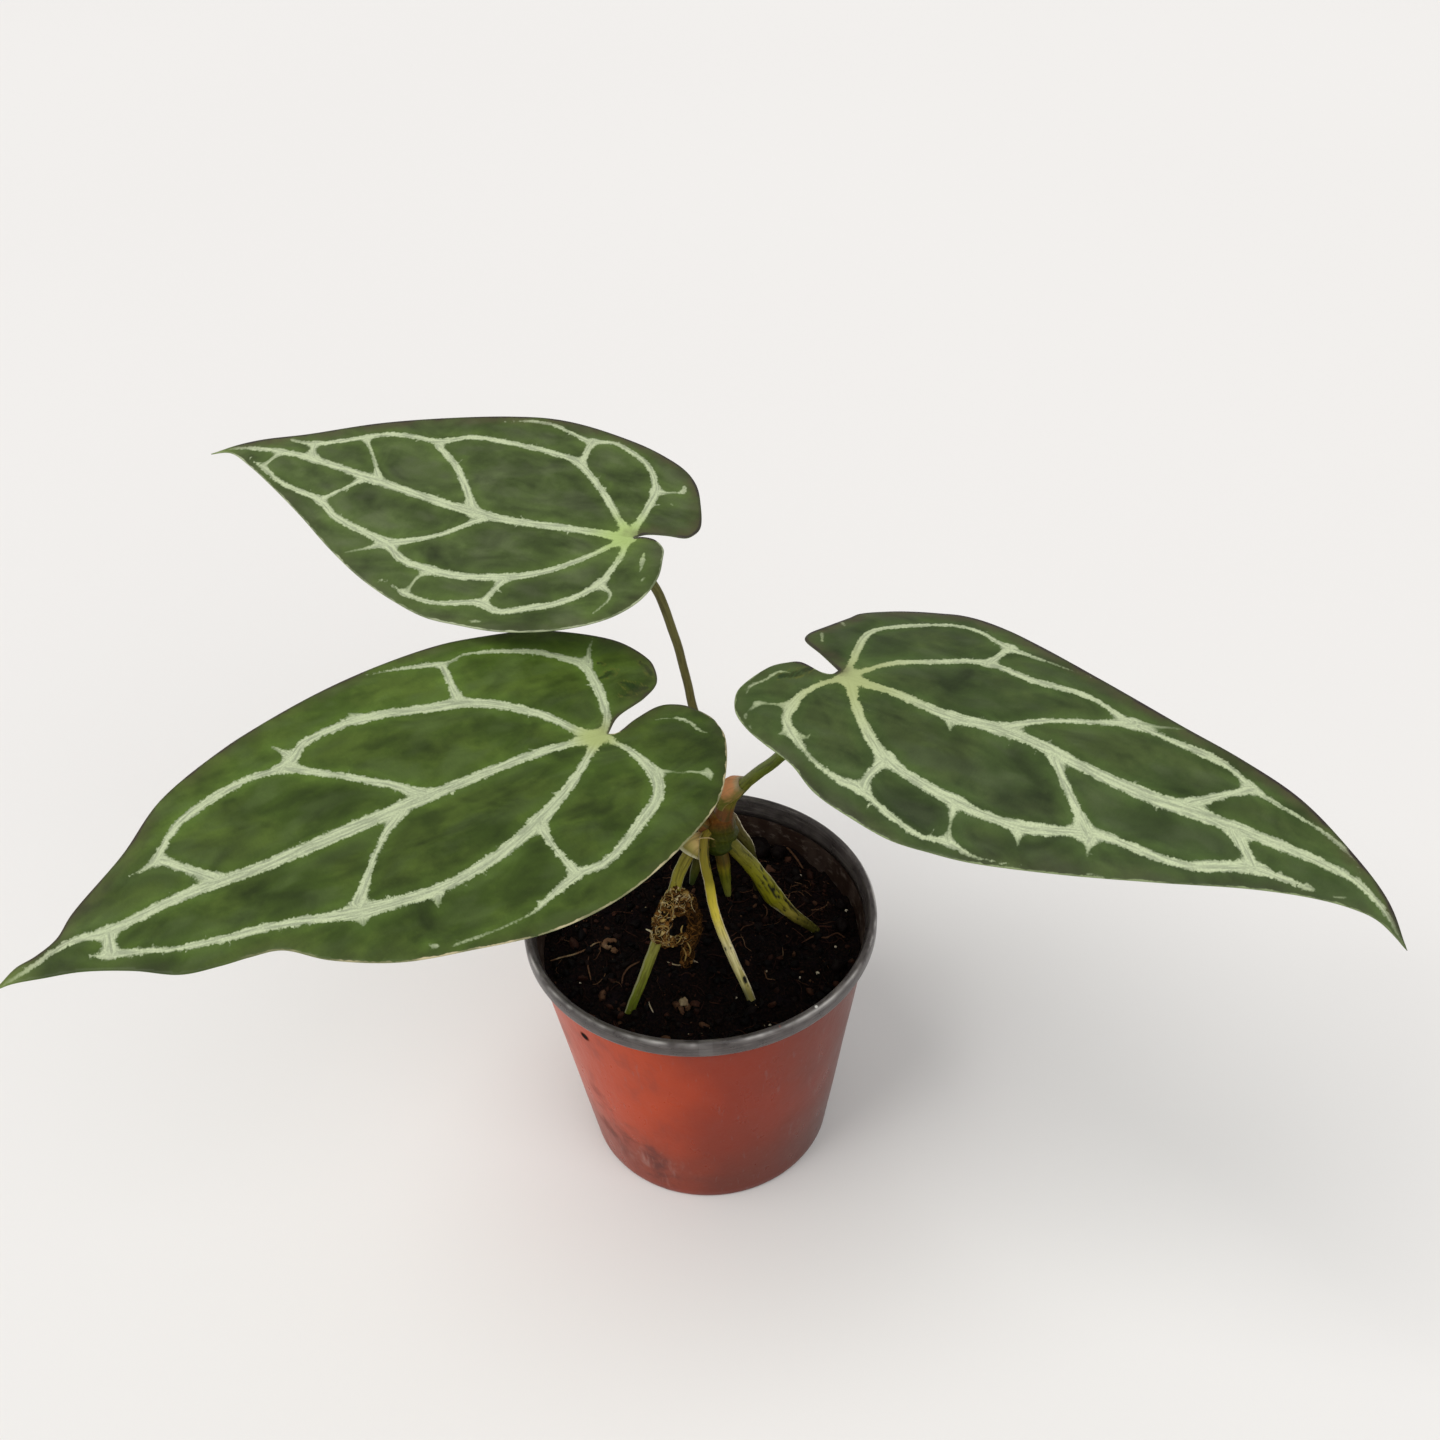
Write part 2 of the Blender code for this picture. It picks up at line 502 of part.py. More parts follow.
def distance_to(points, line):
    """Distance of each point to a polyline, and the share of its length at the nearest place."""
    points = np.asarray(points)
    start, end = line[:-1], line[1:]
    reach = end - start
    t = np.einsum("pik,ik->pi", points[:, None, :] - start[None], reach) / (reach ** 2).sum(axis=1)
    t = np.clip(t, 0, 1)
    gap = np.linalg.norm(points[:, None, :] - (start[None] + reach[None] * t[..., None]), axis=2)
    nearest = gap.argmin(axis=1)
    rows = np.arange(len(points))
    along = arc_length(line)
    share = (along[nearest] + t[rows, nearest] * (along[nearest + 1] - along[nearest])) / along[-1]
    return gap[rows, nearest], share


def inside(points, outline):
    """Whether each point lies inside a closed outline."""
    x, y = points[:, 0], points[:, 1]
    hit = np.zeros(len(points), bool)
    for (ax, ay), (bx, by) in zip(outline, np.roll(outline, -1, axis=0)):
        if ay == by:
            continue
        hit ^= ((ay > y) != (by > y)) & (x < (bx - ax) * (y - ay) / (by - ay) + ax)
    return hit


def rib_lines(leaf):
    """Centre line and half widths of each vein."""
    lines = []
    for first, last, points in leaf["veins"]:
        centre = spline(points, RIB_STEP)
        lines.append((centre, np.linspace(first, last, len(centre)) / 2))
    return lines


def rib_share(points, ribs):
    """Height of the vein net at each point, from 0 beside the veins to 1 on their crests."""
    height = np.zeros(len(points))
    for centre, half in ribs:
        gap, share = distance_to(points, centre)
        width = np.interp(share, np.linspace(0, 1, len(half)), half)
        height = np.maximum(height, np.clip(1 - gap / width, 0, 1))
    return height


def blade_layout(leaf):
    """Flat points and triangles of a blade, split along the edges and crests of its veins."""
    left, right = spline(leaf["left"], OUTLINE_STEP), spline(leaf["right"], OUTLINE_STEP)
    outline = np.vstack([left, right[-2:0:-1]])
    points = [tuple(p) for p in outline]
    edges = [(i, (i + 1) % len(outline)) for i in range(len(outline))]
    ribs = rib_lines(leaf)
    margin = np.vstack([outline, outline[:1]])
    for centre, half in ribs:
        along = np.gradient(centre, axis=0)
        across = np.stack([-along[:, 1], along[:, 0]], axis=1) / np.linalg.norm(along, axis=1)[:, None]
        for side in (-1, 0, 1):
            line = centre + across * half[:, None] * side
            kept = inside(line, outline) & (distance_to(line, margin)[0] > 0.7)
            last = None
            for place, keep in zip(line, kept):
                if not keep:
                    last = None
                    continue
                points.append(tuple(place))
                if last is not None:
                    edges.append((last, len(points) - 1))
                last = len(points) - 1
    for radius, count in ((0.0, 1), (SEAT_RADIUS, 8), (SEAT_RADIUS + 1.2, 10)):
        for i in range(count):
            angle = math.tau * i / count
            ring = np.array([[SEAT_U + radius * math.cos(angle), radius * math.sin(angle)]])
            if inside(ring, outline)[0] and distance_to(ring, margin)[0][0] > 0.5:
                points.append(tuple(ring[0]))
    grid = []
    for row, u in enumerate(np.arange(-30, 130, FILL_STEP * 0.866)):
        for v in np.arange(-48, 48, FILL_STEP) + (row % 2) * FILL_STEP / 2:
            grid.append((u, v))
    grid = np.array(grid)
    grid = grid[inside(grid, outline) & (distance_to(grid, margin)[0] > 2.5)]
    free = np.all([distance_to(grid, centre)[0] > half.max() + 1.8 for centre, half in ribs], axis=0)
    points.extend(tuple(p) for p in grid[free])
    flat, _, faces, _, _, _ = delaunay_2d_cdt(points, edges, [], 1, 0.2)
    return np.array([(p[0], p[1]) for p in flat]), faces, ribs


def make_blade(name, leaf):
    """A blade with its raised vein net on both faces and a flat seat for the petiole."""
    surface = BladeSurface(leaf)
    flat, faces, ribs = blade_layout(leaf)
    u, v = flat[:, 0], flat[:, 1]
    relief = rib_share(flat, ribs)
    from_seat = np.hypot(u - SEAT_U, v)
    seat = SEAT_HEIGHT * np.clip((SEAT_RADIUS + 1.2 - from_seat) / 1.2, 0, 1)
    normals = surface.normal(u, v)
    top = surface.point(u, v) + normals * (relief * RIB_TOP)[:, None]
    under = surface.point(u, v) - normals * (BLADE_THICK + np.maximum(relief * RIB_UNDER, seat))[:, None]
    count = len(flat)
    sides = {}
    for face in faces:
        for a, b in zip(face, face[1:] + face[:1]):
            sides[(a, b)] = True
    solid = [tuple(face) for face in faces]
    solid += [tuple(i + count for i in reversed(face)) for face in faces]
    for a, b in sides:
        if (b, a) not in sides:
            solid.append((b, a, a + count))
            solid.append((b, a + count, b + count))
    blade = new_object("blade_" + name, np.vstack([top, under]), solid)
    dress(blade, (0.075, 0.14, 0.035), 0.45)


def petiole_path(leaf):
    """Centre line of a petiole from inside the stem to just under its blade."""
    surface = BladeSurface(leaf)
    normal = surface.normal(SEAT_U, 0.0)
    seat = surface.point(SEAT_U, 0.0) - normal * (BLADE_THICK + SEAT_HEIGHT + GAP)
    return spline(list(leaf["petiole"]) + [seat - normal * 3.5, seat], 1.0)


def split_at(path, radii, length):
    """The stretches of a path before and after a length, a gap apart, each with its radii."""
    radii = spread(radii, len(path))
    along = arc_length(path)
    stub = np.append(along[along < length - 0.5], length)
    rest = np.insert(along[along > length + GAP + 0.5], 0, length + GAP)
    return ((at_length(path, stub), np.interp(stub, along, radii)),
            (at_length(path, rest), np.interp(rest, along, radii)))


def thin(path, radii, step):
    """A path with its points about a step apart, its ends and end directions kept."""
    along = arc_length(path)
    count = max(2, round((along[-1] - 2.0) / step))
    places = np.concatenate([[0.0], np.linspace(1.0, along[-1] - 1.0, count), [along[-1]]])
    return at_length(path, places), np.interp(places, along, radii)


def make_stem_and_limbs():
    """The stem with its grown-on stubs and root tips, then the petioles and roots that go on from them."""
    stubs = []
    for name, leaf in LEAVES.items():
        stub, rest = split_at(petiole_path(leaf), leaf["petiole_radii"], PETIOLE_STUB)
        stubs.append(tube("stub", *stub, 10))
        limb = tube("petiole_" + name, *thin(*rest, 4.5), 10)
        dress(limb, (0.16, 0.19, 0.06), 0.5)
    for name, root in ROOTS.items():
        stub, rest = split_at(spline(root["path"], 1.0), root["radii"], ROOT_STUB)
        stubs.append(tube("stub", *stub, 9))
        limb = tube(name, *thin(*rest, 3.6), 9)
        dress(limb, (0.34, 0.34, 0.09), 0.55)
    for points, radii in ROOT_TIPS:
        stubs.append(tube("tip", spline(points, 2.2), radii, 8))
    stem = tube("stem", spline(STEM_PATH, 1.8), STEM_RADII, 12)
    boolean(stem, stubs, "UNION")
    dress(stem, (0.20, 0.12, 0.05), 0.6)


def make_scale(name, path, radii):
    """A papery scale that wraps round a limb, open at its back."""
    spec = SCALES[name]
    along = arc_length(path)
    reach = (along >= spec["from"]) & (along <= spec["to"])
    path = path[reach]
    radii = radii[reach] + np.linspace(*spec["clear"], len(path))
    half_angles = spread(spec["half_angles"], len(path))
    rings = []
    steps = 7
    for (tangent, _, _), centre, radius, half in zip(frames(path), path, radii, half_angles):
        out = np.array(spec["facing"], float)
        out -= tangent * out.dot(tangent)
        out /= np.linalg.norm(out)
        side = np.cross(tangent, out)
        ring = []
        for depth, order in ((SCALE_THICK, range(steps)), (0.0, reversed(range(steps)))):
            for i in order:
                angle = math.radians(half) * (2 * i / (steps - 1) - 1)
                ring.append(centre + (radius + depth) * (math.cos(angle) * out + math.sin(angle) * side))
        rings.append(ring)
    dress(loft(name, rings), spec["colour"], 0.65)


def make_sheaths():
    """The pink scale at the foot of the right petiole and the tan one at the head of the left root."""
    path = petiole_path(LEAVES["right"])
    make_scale("sheath_right", path, spread(LEAVES["right"]["petiole_radii"], len(path)))
    path = spline(ROOTS["root_left"]["path"], 1.0)
    make_scale("sheath_left", path, spread(ROOTS["root_left"]["radii"], len(path)))


def make_fibre():
    """The fibre mat, with a plain hole for the left root."""
    mat = tube("fibre_mat", spline(FIBRE_LOBE, 2.6), FIBRE_LOBE_RADII, 11, lump=0.12)
    sleeve = tube("sleeve", spline(FIBRE_SLEEVE, 2.2), FIBRE_SLEEVE_RADII, 11, lump=0.12)
    boolean(mat, [sleeve], "UNION")
    root = ROOTS["root_left"]
    path = spline(root["path"], 1.0)
    radii = spread(root["radii"], len(path))
    near = (path[:, 2] > FIBRE_SLEEVE[-1][2] - 6) & (path[:, 2] < FIBRE_SLEEVE[0][2] + 3)
    boolean(mat, [tube("hole", path[near], radii[near] + GAP * 1.3, 10)], "DIFFERENCE")
    dress(mat, (0.22, 0.12, 0.05), 0.9, smooth=False)


def main():
    """Clears the scene and makes every piece."""
    for obj in list(bpy.data.objects):
        bpy.data.objects.remove(obj, do_unlink=True)
    make_pot()
    make_soil()
    make_stem_and_limbs()
    make_sheaths()
    make_fibre()
    for name, leaf in LEAVES.items():
        make_blade(name, leaf)


main()
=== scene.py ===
"""Looks of the potted crystal anthurium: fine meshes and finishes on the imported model's frame.

Sizes are millimetres in this source and metres in the scene, in the frame of the CAD model: +Z is
up and the origin is the centre of the pot's underside. Every piece stands for a CAD node, or lies
on one, and rides on the only body.
"""

import logging
import math
import random
from collections.abc import Iterator, Sequence
from dataclasses import dataclass, field
from enum import Enum
from functools import cache
from typing import Optional, Union

import bmesh
import bpy
import numpy as np
from mathutils import Matrix, Vector, noise
from mathutils.geometry import delaunay_2d_cdt
from mathutils.kdtree import KDTree


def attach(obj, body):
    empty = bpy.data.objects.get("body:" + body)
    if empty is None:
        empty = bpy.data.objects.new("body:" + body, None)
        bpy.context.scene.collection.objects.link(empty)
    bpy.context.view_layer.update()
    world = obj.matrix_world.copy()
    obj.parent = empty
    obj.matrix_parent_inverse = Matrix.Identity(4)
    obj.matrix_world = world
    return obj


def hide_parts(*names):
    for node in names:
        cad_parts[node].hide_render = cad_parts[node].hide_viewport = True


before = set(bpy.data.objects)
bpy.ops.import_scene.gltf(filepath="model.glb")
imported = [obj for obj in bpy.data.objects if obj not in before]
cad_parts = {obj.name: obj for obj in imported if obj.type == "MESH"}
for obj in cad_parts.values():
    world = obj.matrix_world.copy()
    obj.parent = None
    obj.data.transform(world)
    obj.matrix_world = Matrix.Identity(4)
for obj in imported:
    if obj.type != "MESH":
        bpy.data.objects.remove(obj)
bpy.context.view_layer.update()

MM = 0.001
BODY = "root"
FRONT = np.array((0.0, -0.78, 0.62))     # the side that a root's cracks are measured from
ROW = 0.866                              # spacing of the rows in a mesh of even triangles
LOG = logging.getLogger("anthurium")

Colour = tuple[float, float, float]
Spot = tuple[float, float, float]
Stops = tuple[tuple[float, Colour], ...]
Faces = list[tuple[int, ...]]
Point = Sequence[float]
Input = Union[int, float, Sequence[float], "Sock"]


class Slot(Enum):
    """The record's material slots."""

    POT = "pot"
    SOIL = "soil"
    STEM = "stem"
    PETIOLE = "petiole"
    BLADE = "blade"
    ROOT = "root"
    SHEATH = "sheath"
    FIBRE = "fibre"


# Shader building

class Sock:
    """An output socket of a material, with arithmetic that adds the nodes for it."""

    def __init__(self, graph: "Graph", socket: bpy.types.NodeSocket) -> None:
        """Wraps a socket of a graph."""
        self.graph = graph
        self.socket = socket

    @property
    def kind(self) -> str:
        """VALUE, VECTOR or RGBA."""
        return self.socket.type

    def __add__(self, other: Input) -> "Sock":
        """The sum with a value, a colour or a vector."""
        return self.graph.arithmetic("ADD", self, other)

    def __radd__(self, other: Input) -> "Sock":
        """The sum, with the plain value first."""
        return self.graph.arithmetic("ADD", other, self)

    def __sub__(self, other: Input) -> "Sock":
        """The difference."""
        return self.graph.arithmetic("SUBTRACT", self, other)

    def __rsub__(self, other: Input) -> "Sock":
        """The difference, with the plain value first."""
        return self.graph.arithmetic("SUBTRACT", other, self)

    def __mul__(self, other: Input) -> "Sock":
        """The product."""
        return self.graph.arithmetic("MULTIPLY", self, other)

    def __rmul__(self, other: Input) -> "Sock":
        """The product, with the plain value first."""
        return self.graph.arithmetic("MULTIPLY", other, self)

    def __truediv__(self, other: Input) -> "Sock":
        """The quotient."""
        return self.graph.arithmetic("DIVIDE", self, other)

    def __rtruediv__(self, other: Input) -> "Sock":
        """The quotient, with the plain value first."""
        return self.graph.arithmetic("DIVIDE", other, self)


def as_vector(value: Input) -> Input:
    """Three numbers from one. A vector or a socket stays as it is."""
    return (value, value, value) if isinstance(value, (int, float)) else value


def as_colour(value: Input) -> Input:
    """A colour with its alpha from a grey level or a colour. A socket stays as it is."""
    return value if isinstance(value, Sock) else (*as_vector(value)[:3], 1.0)


class Graph:
    """The node tree of one material."""

    def __init__(self, name: str) -> None:
        """Starts an empty material.

        Args:
            name: The material's name.
        """
        self.material = bpy.data.materials.new(name)
        self.material.use_nodes = True
        self.tree = self.material.node_tree
        self.tree.nodes.clear()

    def make(self, kind: str, settings: Optional[dict] = None,
             sockets: Optional[dict] = None) -> bpy.types.Node:
        """Adds any node, its settings first and then its sockets.

        Args:
            kind: The node's type.
            settings: Properties of the node. The key stops gives a ramp its places and colours.
            sockets: Values or links by the socket's name or number.

        Returns:
            The node.
        """
        node = self.tree.nodes.new(kind)
        for key, value in (settings or {}).items():
            if key == "stops":
                elements = node.color_ramp.elements
                while len(elements) < len(value):
                    elements.new(0.5)
                for element, (place, colour) in zip(elements, value):
                    element.position = place
                    element.color = as_colour(colour)
            else:
                setattr(node, key, value)
        for key, value in (sockets or {}).items():
            if isinstance(value, Sock):
                self.tree.links.new(value.socket, node.inputs[key])
            else:
                node.inputs[key].default_value = value
        return node

    def take(self, output: Union[int, str], kind: str, settings: Optional[dict] = None,
             sockets: Optional[dict] = None) -> Sock:
        """Makes a node and takes one of its outputs, by name or number."""
        return Sock(self, self.make(kind, settings, sockets).outputs[output])

    def arithmetic(self, operation: str, first: Input, second: Input) -> Sock:
        """A sum, difference, product or quotient, through the node that suits its operands.

        Args:
            operation: ADD, SUBTRACT, MULTIPLY or DIVIDE.
            first: The first operand.
            second: The second operand.

        Returns:
            The result.
        """
        kinds = {value.kind for value in (first, second) if isinstance(value, Sock)}
        if "RGBA" in kinds:
            return self.take(2, "ShaderNodeMix", {"data_type": "RGBA", "blend_type": operation},
                             {0: 1.0, 6: as_colour(first), 7: as_colour(second)})
        if "VECTOR" in kinds:
            return self.take(0, "ShaderNodeVectorMath", {"operation": operation},
                             {0: as_vector(first), 1: as_vector(second)})
        return self.take(0, "ShaderNodeMath", {"operation": operation}, {0: first, 1: second})

    def value(self, name: str) -> Sock:
        """A number that the mesh carries at each vertex."""
        return self.take("Fac", "ShaderNodeAttribute", {"attribute_name": name})

    def vector(self, name: str) -> Sock:
        """A vector that the mesh carries at each vertex."""
        return self.take("Vector", "ShaderNodeAttribute", {"attribute_name": name})

    def place(self) -> Sock:
        """The place on the object in millimetres."""
        return self.take("Object", "ShaderNodeTexCoord") * (1 / MM)

    def part(self, vector: Sock, axis: str) -> Sock:
        """The X, Y or Z of a vector."""
        return self.take(axis, "ShaderNodeSeparateXYZ", {}, {0: vector})

    def noise(self, place: Sock, size: float, detail: float = 2.0, roughness: float = 0.5,
              distortion: float = 0.0) -> Sock:
        """Cloudy noise from 0 to 1.

        Args:
            place: Where it is read.
            size: The size of its largest features, in the units of the place.
            detail: How many finer layers it has.
            roughness: How strong they are.
            distortion: How far it is swirled.

        Returns:
            The noise.
        """
        return self.take("Fac", "ShaderNodeTexNoise", {"noise_dimensions": "3D"},
                         {"Vector": place, "Scale": 1 / size, "Detail": detail,
                          "Roughness": roughness, "Distortion": distortion})

    def step(self, value: Input, start: float, end: float) -> Sock:
        """A smooth rise from 0 where the value is start to 1 where it is end."""
        return self.take("Result", "ShaderNodeMapRange", {"interpolation_type": "SMOOTHSTEP"},
                         {"Value": value, "From Min": start, "From Max": end})

    def spot(self, place: Sock, centre: Point, reach: float) -> Sock:
        """A soft round spot, 1 at its centre and 0 beyond its reach."""
        away = self.take("Value", "ShaderNodeVectorMath", {"operation": "DISTANCE"},
                         {0: place, 1: centre})
        return self.step(away, reach, reach * 0.45)

    def mix(self, share: Input, first: Input, second: Input) -> Sock:
        """A colour that runs from the first at share 0 to the second at share 1."""
        return self.take(2, "ShaderNodeMix", {"data_type": "RGBA"},
                         {0: share, 6: as_colour(first), 7: as_colour(second)})

    def ramp(self, value: Sock, stops: Stops) -> Sock:
        """A colour that changes with a value from 0 to 1."""
        return self.take("Color", "ShaderNodeValToRGB", {"stops": stops}, {0: value})

    def painted(self, colour: Input, *coats: tuple[Input, Input]) -> Input:
        """A colour with others laid over it, each by its own share.

        Args:
            colour: The first colour.
            coats: The share and the colour of each coat.

        Returns:
            The colour that shows.
        """
        for share, coat in coats:
            colour = self.mix(share, colour, coat)
        return colour

    def bump(self, height: Sock, depth: float, strength: float) -> Sock:
        """A shading normal from a height whose 1 means the depth in millimetres."""
        return self.take("Normal", "ShaderNodeBump", {},
                         {"Height": height, "Distance": depth * MM, "Strength": strength})

    def dressed(self, **sockets: Input) -> bpy.types.Material:
        """Ends the material in a Principled shader.

        Args:
            sockets: Its sockets, with an underscore for each space in their names.

        Returns:
            The material.
        """
        inputs = {key.replace("_", " "): value for key, value in sockets.items()}
        shader = self.take(0, "ShaderNodeBsdfPrincipled", {}, inputs)
        self.make("ShaderNodeOutputMaterial", {}, {"Surface": shader})
        return self.material


# Curves and skins

def arc_length(path: np.ndarray) -> np.ndarray:
    """Distance along a polyline at each of its points."""
    return np.concatenate([[0.0], np.cumsum(np.linalg.norm(np.diff(path, axis=0), axis=1))])


def at_length(path: np.ndarray, lengths: np.ndarray) -> np.ndarray:
    """Points at the given distances along a polyline."""
    along = arc_length(path)
    return np.stack([np.interp(lengths, along, path[:, k]) for k in range(path.shape[1])], axis=1)


def at_share(values: Sequence[float], shares: np.ndarray) -> np.ndarray:
    """Values at even stations of a length, read at shares of it."""
    return np.interp(shares, np.linspace(0, 1, len(values)), values)


def spread(values: Sequence[float], count: int) -> np.ndarray:
    """The given values spread evenly over a number of stations."""
    return at_share(values, np.linspace(0, 1, count))


def upright(flat: np.ndarray, z: float = 0.0) -> np.ndarray:
    """Flat points at a height."""
    return np.column_stack([flat, np.full(len(flat), z)])


def spline(points: Sequence[Point], step: float) -> np.ndarray:
    """A smooth curve through points, with a knot spacing that keeps it free of loops.

    Args:
        points: The points that it passes.
        step: About how far apart the new points are.

    Returns:
        Evenly spaced points on the curve.
    """
    p = np.asarray(points, float)
    p = np.vstack([2 * p[0] - p[1], p, 2 * p[-1] - p[-2]])
    fine = [p[1]]
    for a, b, c, d in zip(p, p[1:], p[2:], p[3:]):
        t1 = math.sqrt(np.linalg.norm(b - a))
        t2 = t1 + math.sqrt(np.linalg.norm(c - b))
        t3 = t2 + math.sqrt(np.linalg.norm(d - c))
        for t in np.linspace(t1, t2, 13)[1:]:
            ab = a + (b - a) * t / t1
            bc = b + (c - b) * (t - t1) / (t2 - t1)
            cd = c + (d - c) * (t - t2) / (t3 - t2)
            abc = ab + (bc - ab) * t / t2
            bcd = bc + (cd - bc) * (t - t1) / (t3 - t1)
            fine.append(abc + (bcd - abc) * (t - t1) / (t2 - t1))
    fine = np.array(fine)
    length = arc_length(fine)[-1]
    return at_length(fine, np.linspace(0, length, max(1, round(length / step)) + 1))


def sides_of(path: np.ndarray) -> tuple[np.ndarray, np.ndarray, np.ndarray]:
    """Directions along and across a path, with no sudden turn between them.

    Args:
        path: The path's points.

    Returns:
        The tangents and two side directions at each point.
    """
    tangents = np.gradient(path, axis=0)
    tangents[0] = path[1] - path[0]
    tangents[-1] = path[-1] - path[-2]
    tangents /= np.linalg.norm(tangents, axis=1)[:, None]
    side = np.cross(tangents[0], (0.35, -0.9, 0.2))
    first = []
    for tangent in tangents:
        side = side - tangent * side.dot(tangent)
        side /= np.linalg.norm(side)
        first.append(side)
    first = np.array(first)
    return tangents, first, np.cross(tangents, first)


def ripple(points: np.ndarray, size: float, seed: float = 0.0) -> np.ndarray:
    """Smooth noise from about -1 to 1.

    Args:
        points: Places in millimetres.
        size: The size of its features.
        seed: Shifts it to another pattern.

    Returns:
        The noise at each place.
    """
    shift = Vector((17.3 * seed + 0.37, 9.1 * seed + 0.71, 5.7 * seed + 0.13))
    return np.array([noise.noise(Vector(p) / size + shift) for p in points])


def search_tree(points: np.ndarray) -> KDTree:
    """A tree that finds the nearest of its points.

    Args:
        points: Its points, flat ones lying at height 0.

    Returns:
        The tree.
    """
    tree = KDTree(len(points))
    for k, point in enumerate(points):
        tree.insert((*point, 0.0)[:3], k)
    tree.balance()
    return tree


def gap_to(flat: np.ndarray, others: np.ndarray) -> np.ndarray:
    """Distance of each flat point to the nearest of the others."""
    tree = search_tree(others)
    return np.array([tree.find((x, y, 0.0))[2] for x, y in flat])


def placed(name: str, data: bpy.types.ID) -> bpy.types.Object:
    """A new object in the scene that shows the data."""
    item = bpy.data.objects.new(name, data)
    bpy.context.scene.collection.objects.link(item)
    return item


def band(first: int, second: int, sides: int) -> Faces:
    """Quads between two rings of vertices, given the first vertex of each."""
    turns = [(i, (i + 1) % sides) for i in range(sides)]
    return [(first + i, first + j, second + j, second + i) for i, j in turns]


def filled(ring: np.ndarray, inner: np.ndarray, merge: float) -> tuple[np.ndarray, Faces]:
    """Fills a closed outline with triangles.

    Args:
        ring: The outline.
        inner: Flat points inside it.
        merge: How near two points are to become one.

    Returns:
        The points, the outline's first, and the triangles.
    """
    points = [tuple(point) for point in np.vstack([ring, inner])]
    edges = [(i, (i + 1) % len(ring)) for i in range(len(ring))]
    flat, _, faces, *_ = delaunay_2d_cdt(points, edges, [], 1, merge)
    return np.array([tuple(point) for point in flat]), [tuple(face) for face in faces]


@dataclass
class Skin:
    """A mesh on its way to a piece: vertices in millimetres, faces, and values at each vertex."""

    points: np.ndarray
    faces: Faces
    values: dict[str, np.ndarray] = field(default_factory=dict)

    @classmethod
    def joined(cls, skins: Sequence["Skin"]) -> "Skin":
        """One skin from several.

        Args:
            skins: The skins, which all carry the same values.

        Returns:
            The skin.
        """
        faces, start = [], 0
        for skin in skins:
            faces.extend(tuple(i + start for i in face) for face in skin.faces)
            start += len(skin.points)
        values = {key: np.concatenate([skin.values[key] for skin in skins])
                  for key in skins[0].values}
        return cls(np.vstack([skin.points for skin in skins]), faces, values)

    def swell(self, path: np.ndarray, grow: np.ndarray) -> None:
        """Grows a tube's skin about its centre line.

        Args:
            path: The centre line.
            grow: The factor at each vertex.
        """
        centres = np.repeat(path, len(self.points) // len(path), axis=0)
        self.points = centres + (self.points - centres) * grow[:, None]

    def mesh(self, name: str) -> bpy.types.Mesh:
        """The skin as a mesh in metres, with its values as attributes.

        Args:
            name: The mesh's name.

        Returns:
            The mesh.
        """
        mesh = bpy.data.meshes.new(name)
        mesh.from_pydata((self.points * MM).tolist(), [], self.faces)
        for key, value in self.values.items():
            kind, item = ("FLOAT", "value") if value.ndim == 1 else ("FLOAT_VECTOR", "vector")
            layer = mesh.attributes.new(key, kind, "POINT")
            layer.data.foreach_set(item, value.astype(np.float32).ravel())
        return mesh

    def piece(self, name: str, material: bpy.types.Material, slot: Slot,
              nodes: Sequence[str] = ()) -> bpy.types.Object:
        """Makes the piece, which rides on the only body.

        Args:
            name: The piece's name.
            material: Its finish.
            slot: The record's slot that the finish belongs to. It is not used.
            nodes: The CAD nodes that it stands for.

        Returns:
            The object.
        """
        mesh = self.mesh(name)
        mesh.shade_smooth()
        mesh.materials.append(material)
        piece = placed(name, mesh)
        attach(piece, BODY)
        if nodes:
            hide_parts(*nodes)
        LOG.info("%s: %d vertices, %d faces", name, len(self.points), len(self.faces))
        return piece


def tube(path: np.ndarray, radii: np.ndarray, sides: int, tone: float = 0.0) -> Skin:
    """A round skin along a path, closed at both ends.

    Args:
        path: Its centre line.
        radii: Its radius at each point.
        sides: How many sides it has.
        tone: A value that all its vertices carry.

    Returns:
        The skin, with its length share, its place on the unrolled skin and its tone.
    """
    _, first, second = sides_of(path)
    angles = np.linspace(0, math.tau, sides, endpoint=False)
    turn = np.stack([np.cos(angles), np.sin(angles)], axis=1)
    ring = turn[None, :, :1] * first[:, None, :] + turn[None, :, 1:] * second[:, None, :]
    points = (path[:, None, :] + ring * radii[:, None, None]).reshape(-1, 3)
    along = np.repeat(arc_length(path), sides)
    around = np.tile(turn, (len(path), 1)) * np.repeat(radii, sides)[:, None]
    faces = [face for k in range(len(path) - 1) for face in band(k * sides, (k + 1) * sides, sides)]
    last = (len(path) - 1) * sides
    faces += [tuple(reversed(range(sides))), tuple(range(last, last + sides))]
    return Skin(points, faces, {"along": along / along[-1], "tone": np.full(len(points), tone),
                                "unrolled": np.column_stack([around, along])})


def round_off(radii: np.ndarray, path: np.ndarray, start: bool) -> np.ndarray:
    """Radii that close in a dome at the end of a path.

    Args:
        radii: The radius at each point.
        path: The path's points.
        start: Whether the start is domed too.

    Returns:
        The new radii.
    """
    along = arc_length(path)
    ends = [(along[-1] - along) / radii[-1]] + [along / radii[0]] * start
    shape = np.ones(len(path))
    for share in ends:
        shape *= np.sqrt(1 - (1 - np.clip(share, 0.02, 1)) ** 2)
    return radii * shape


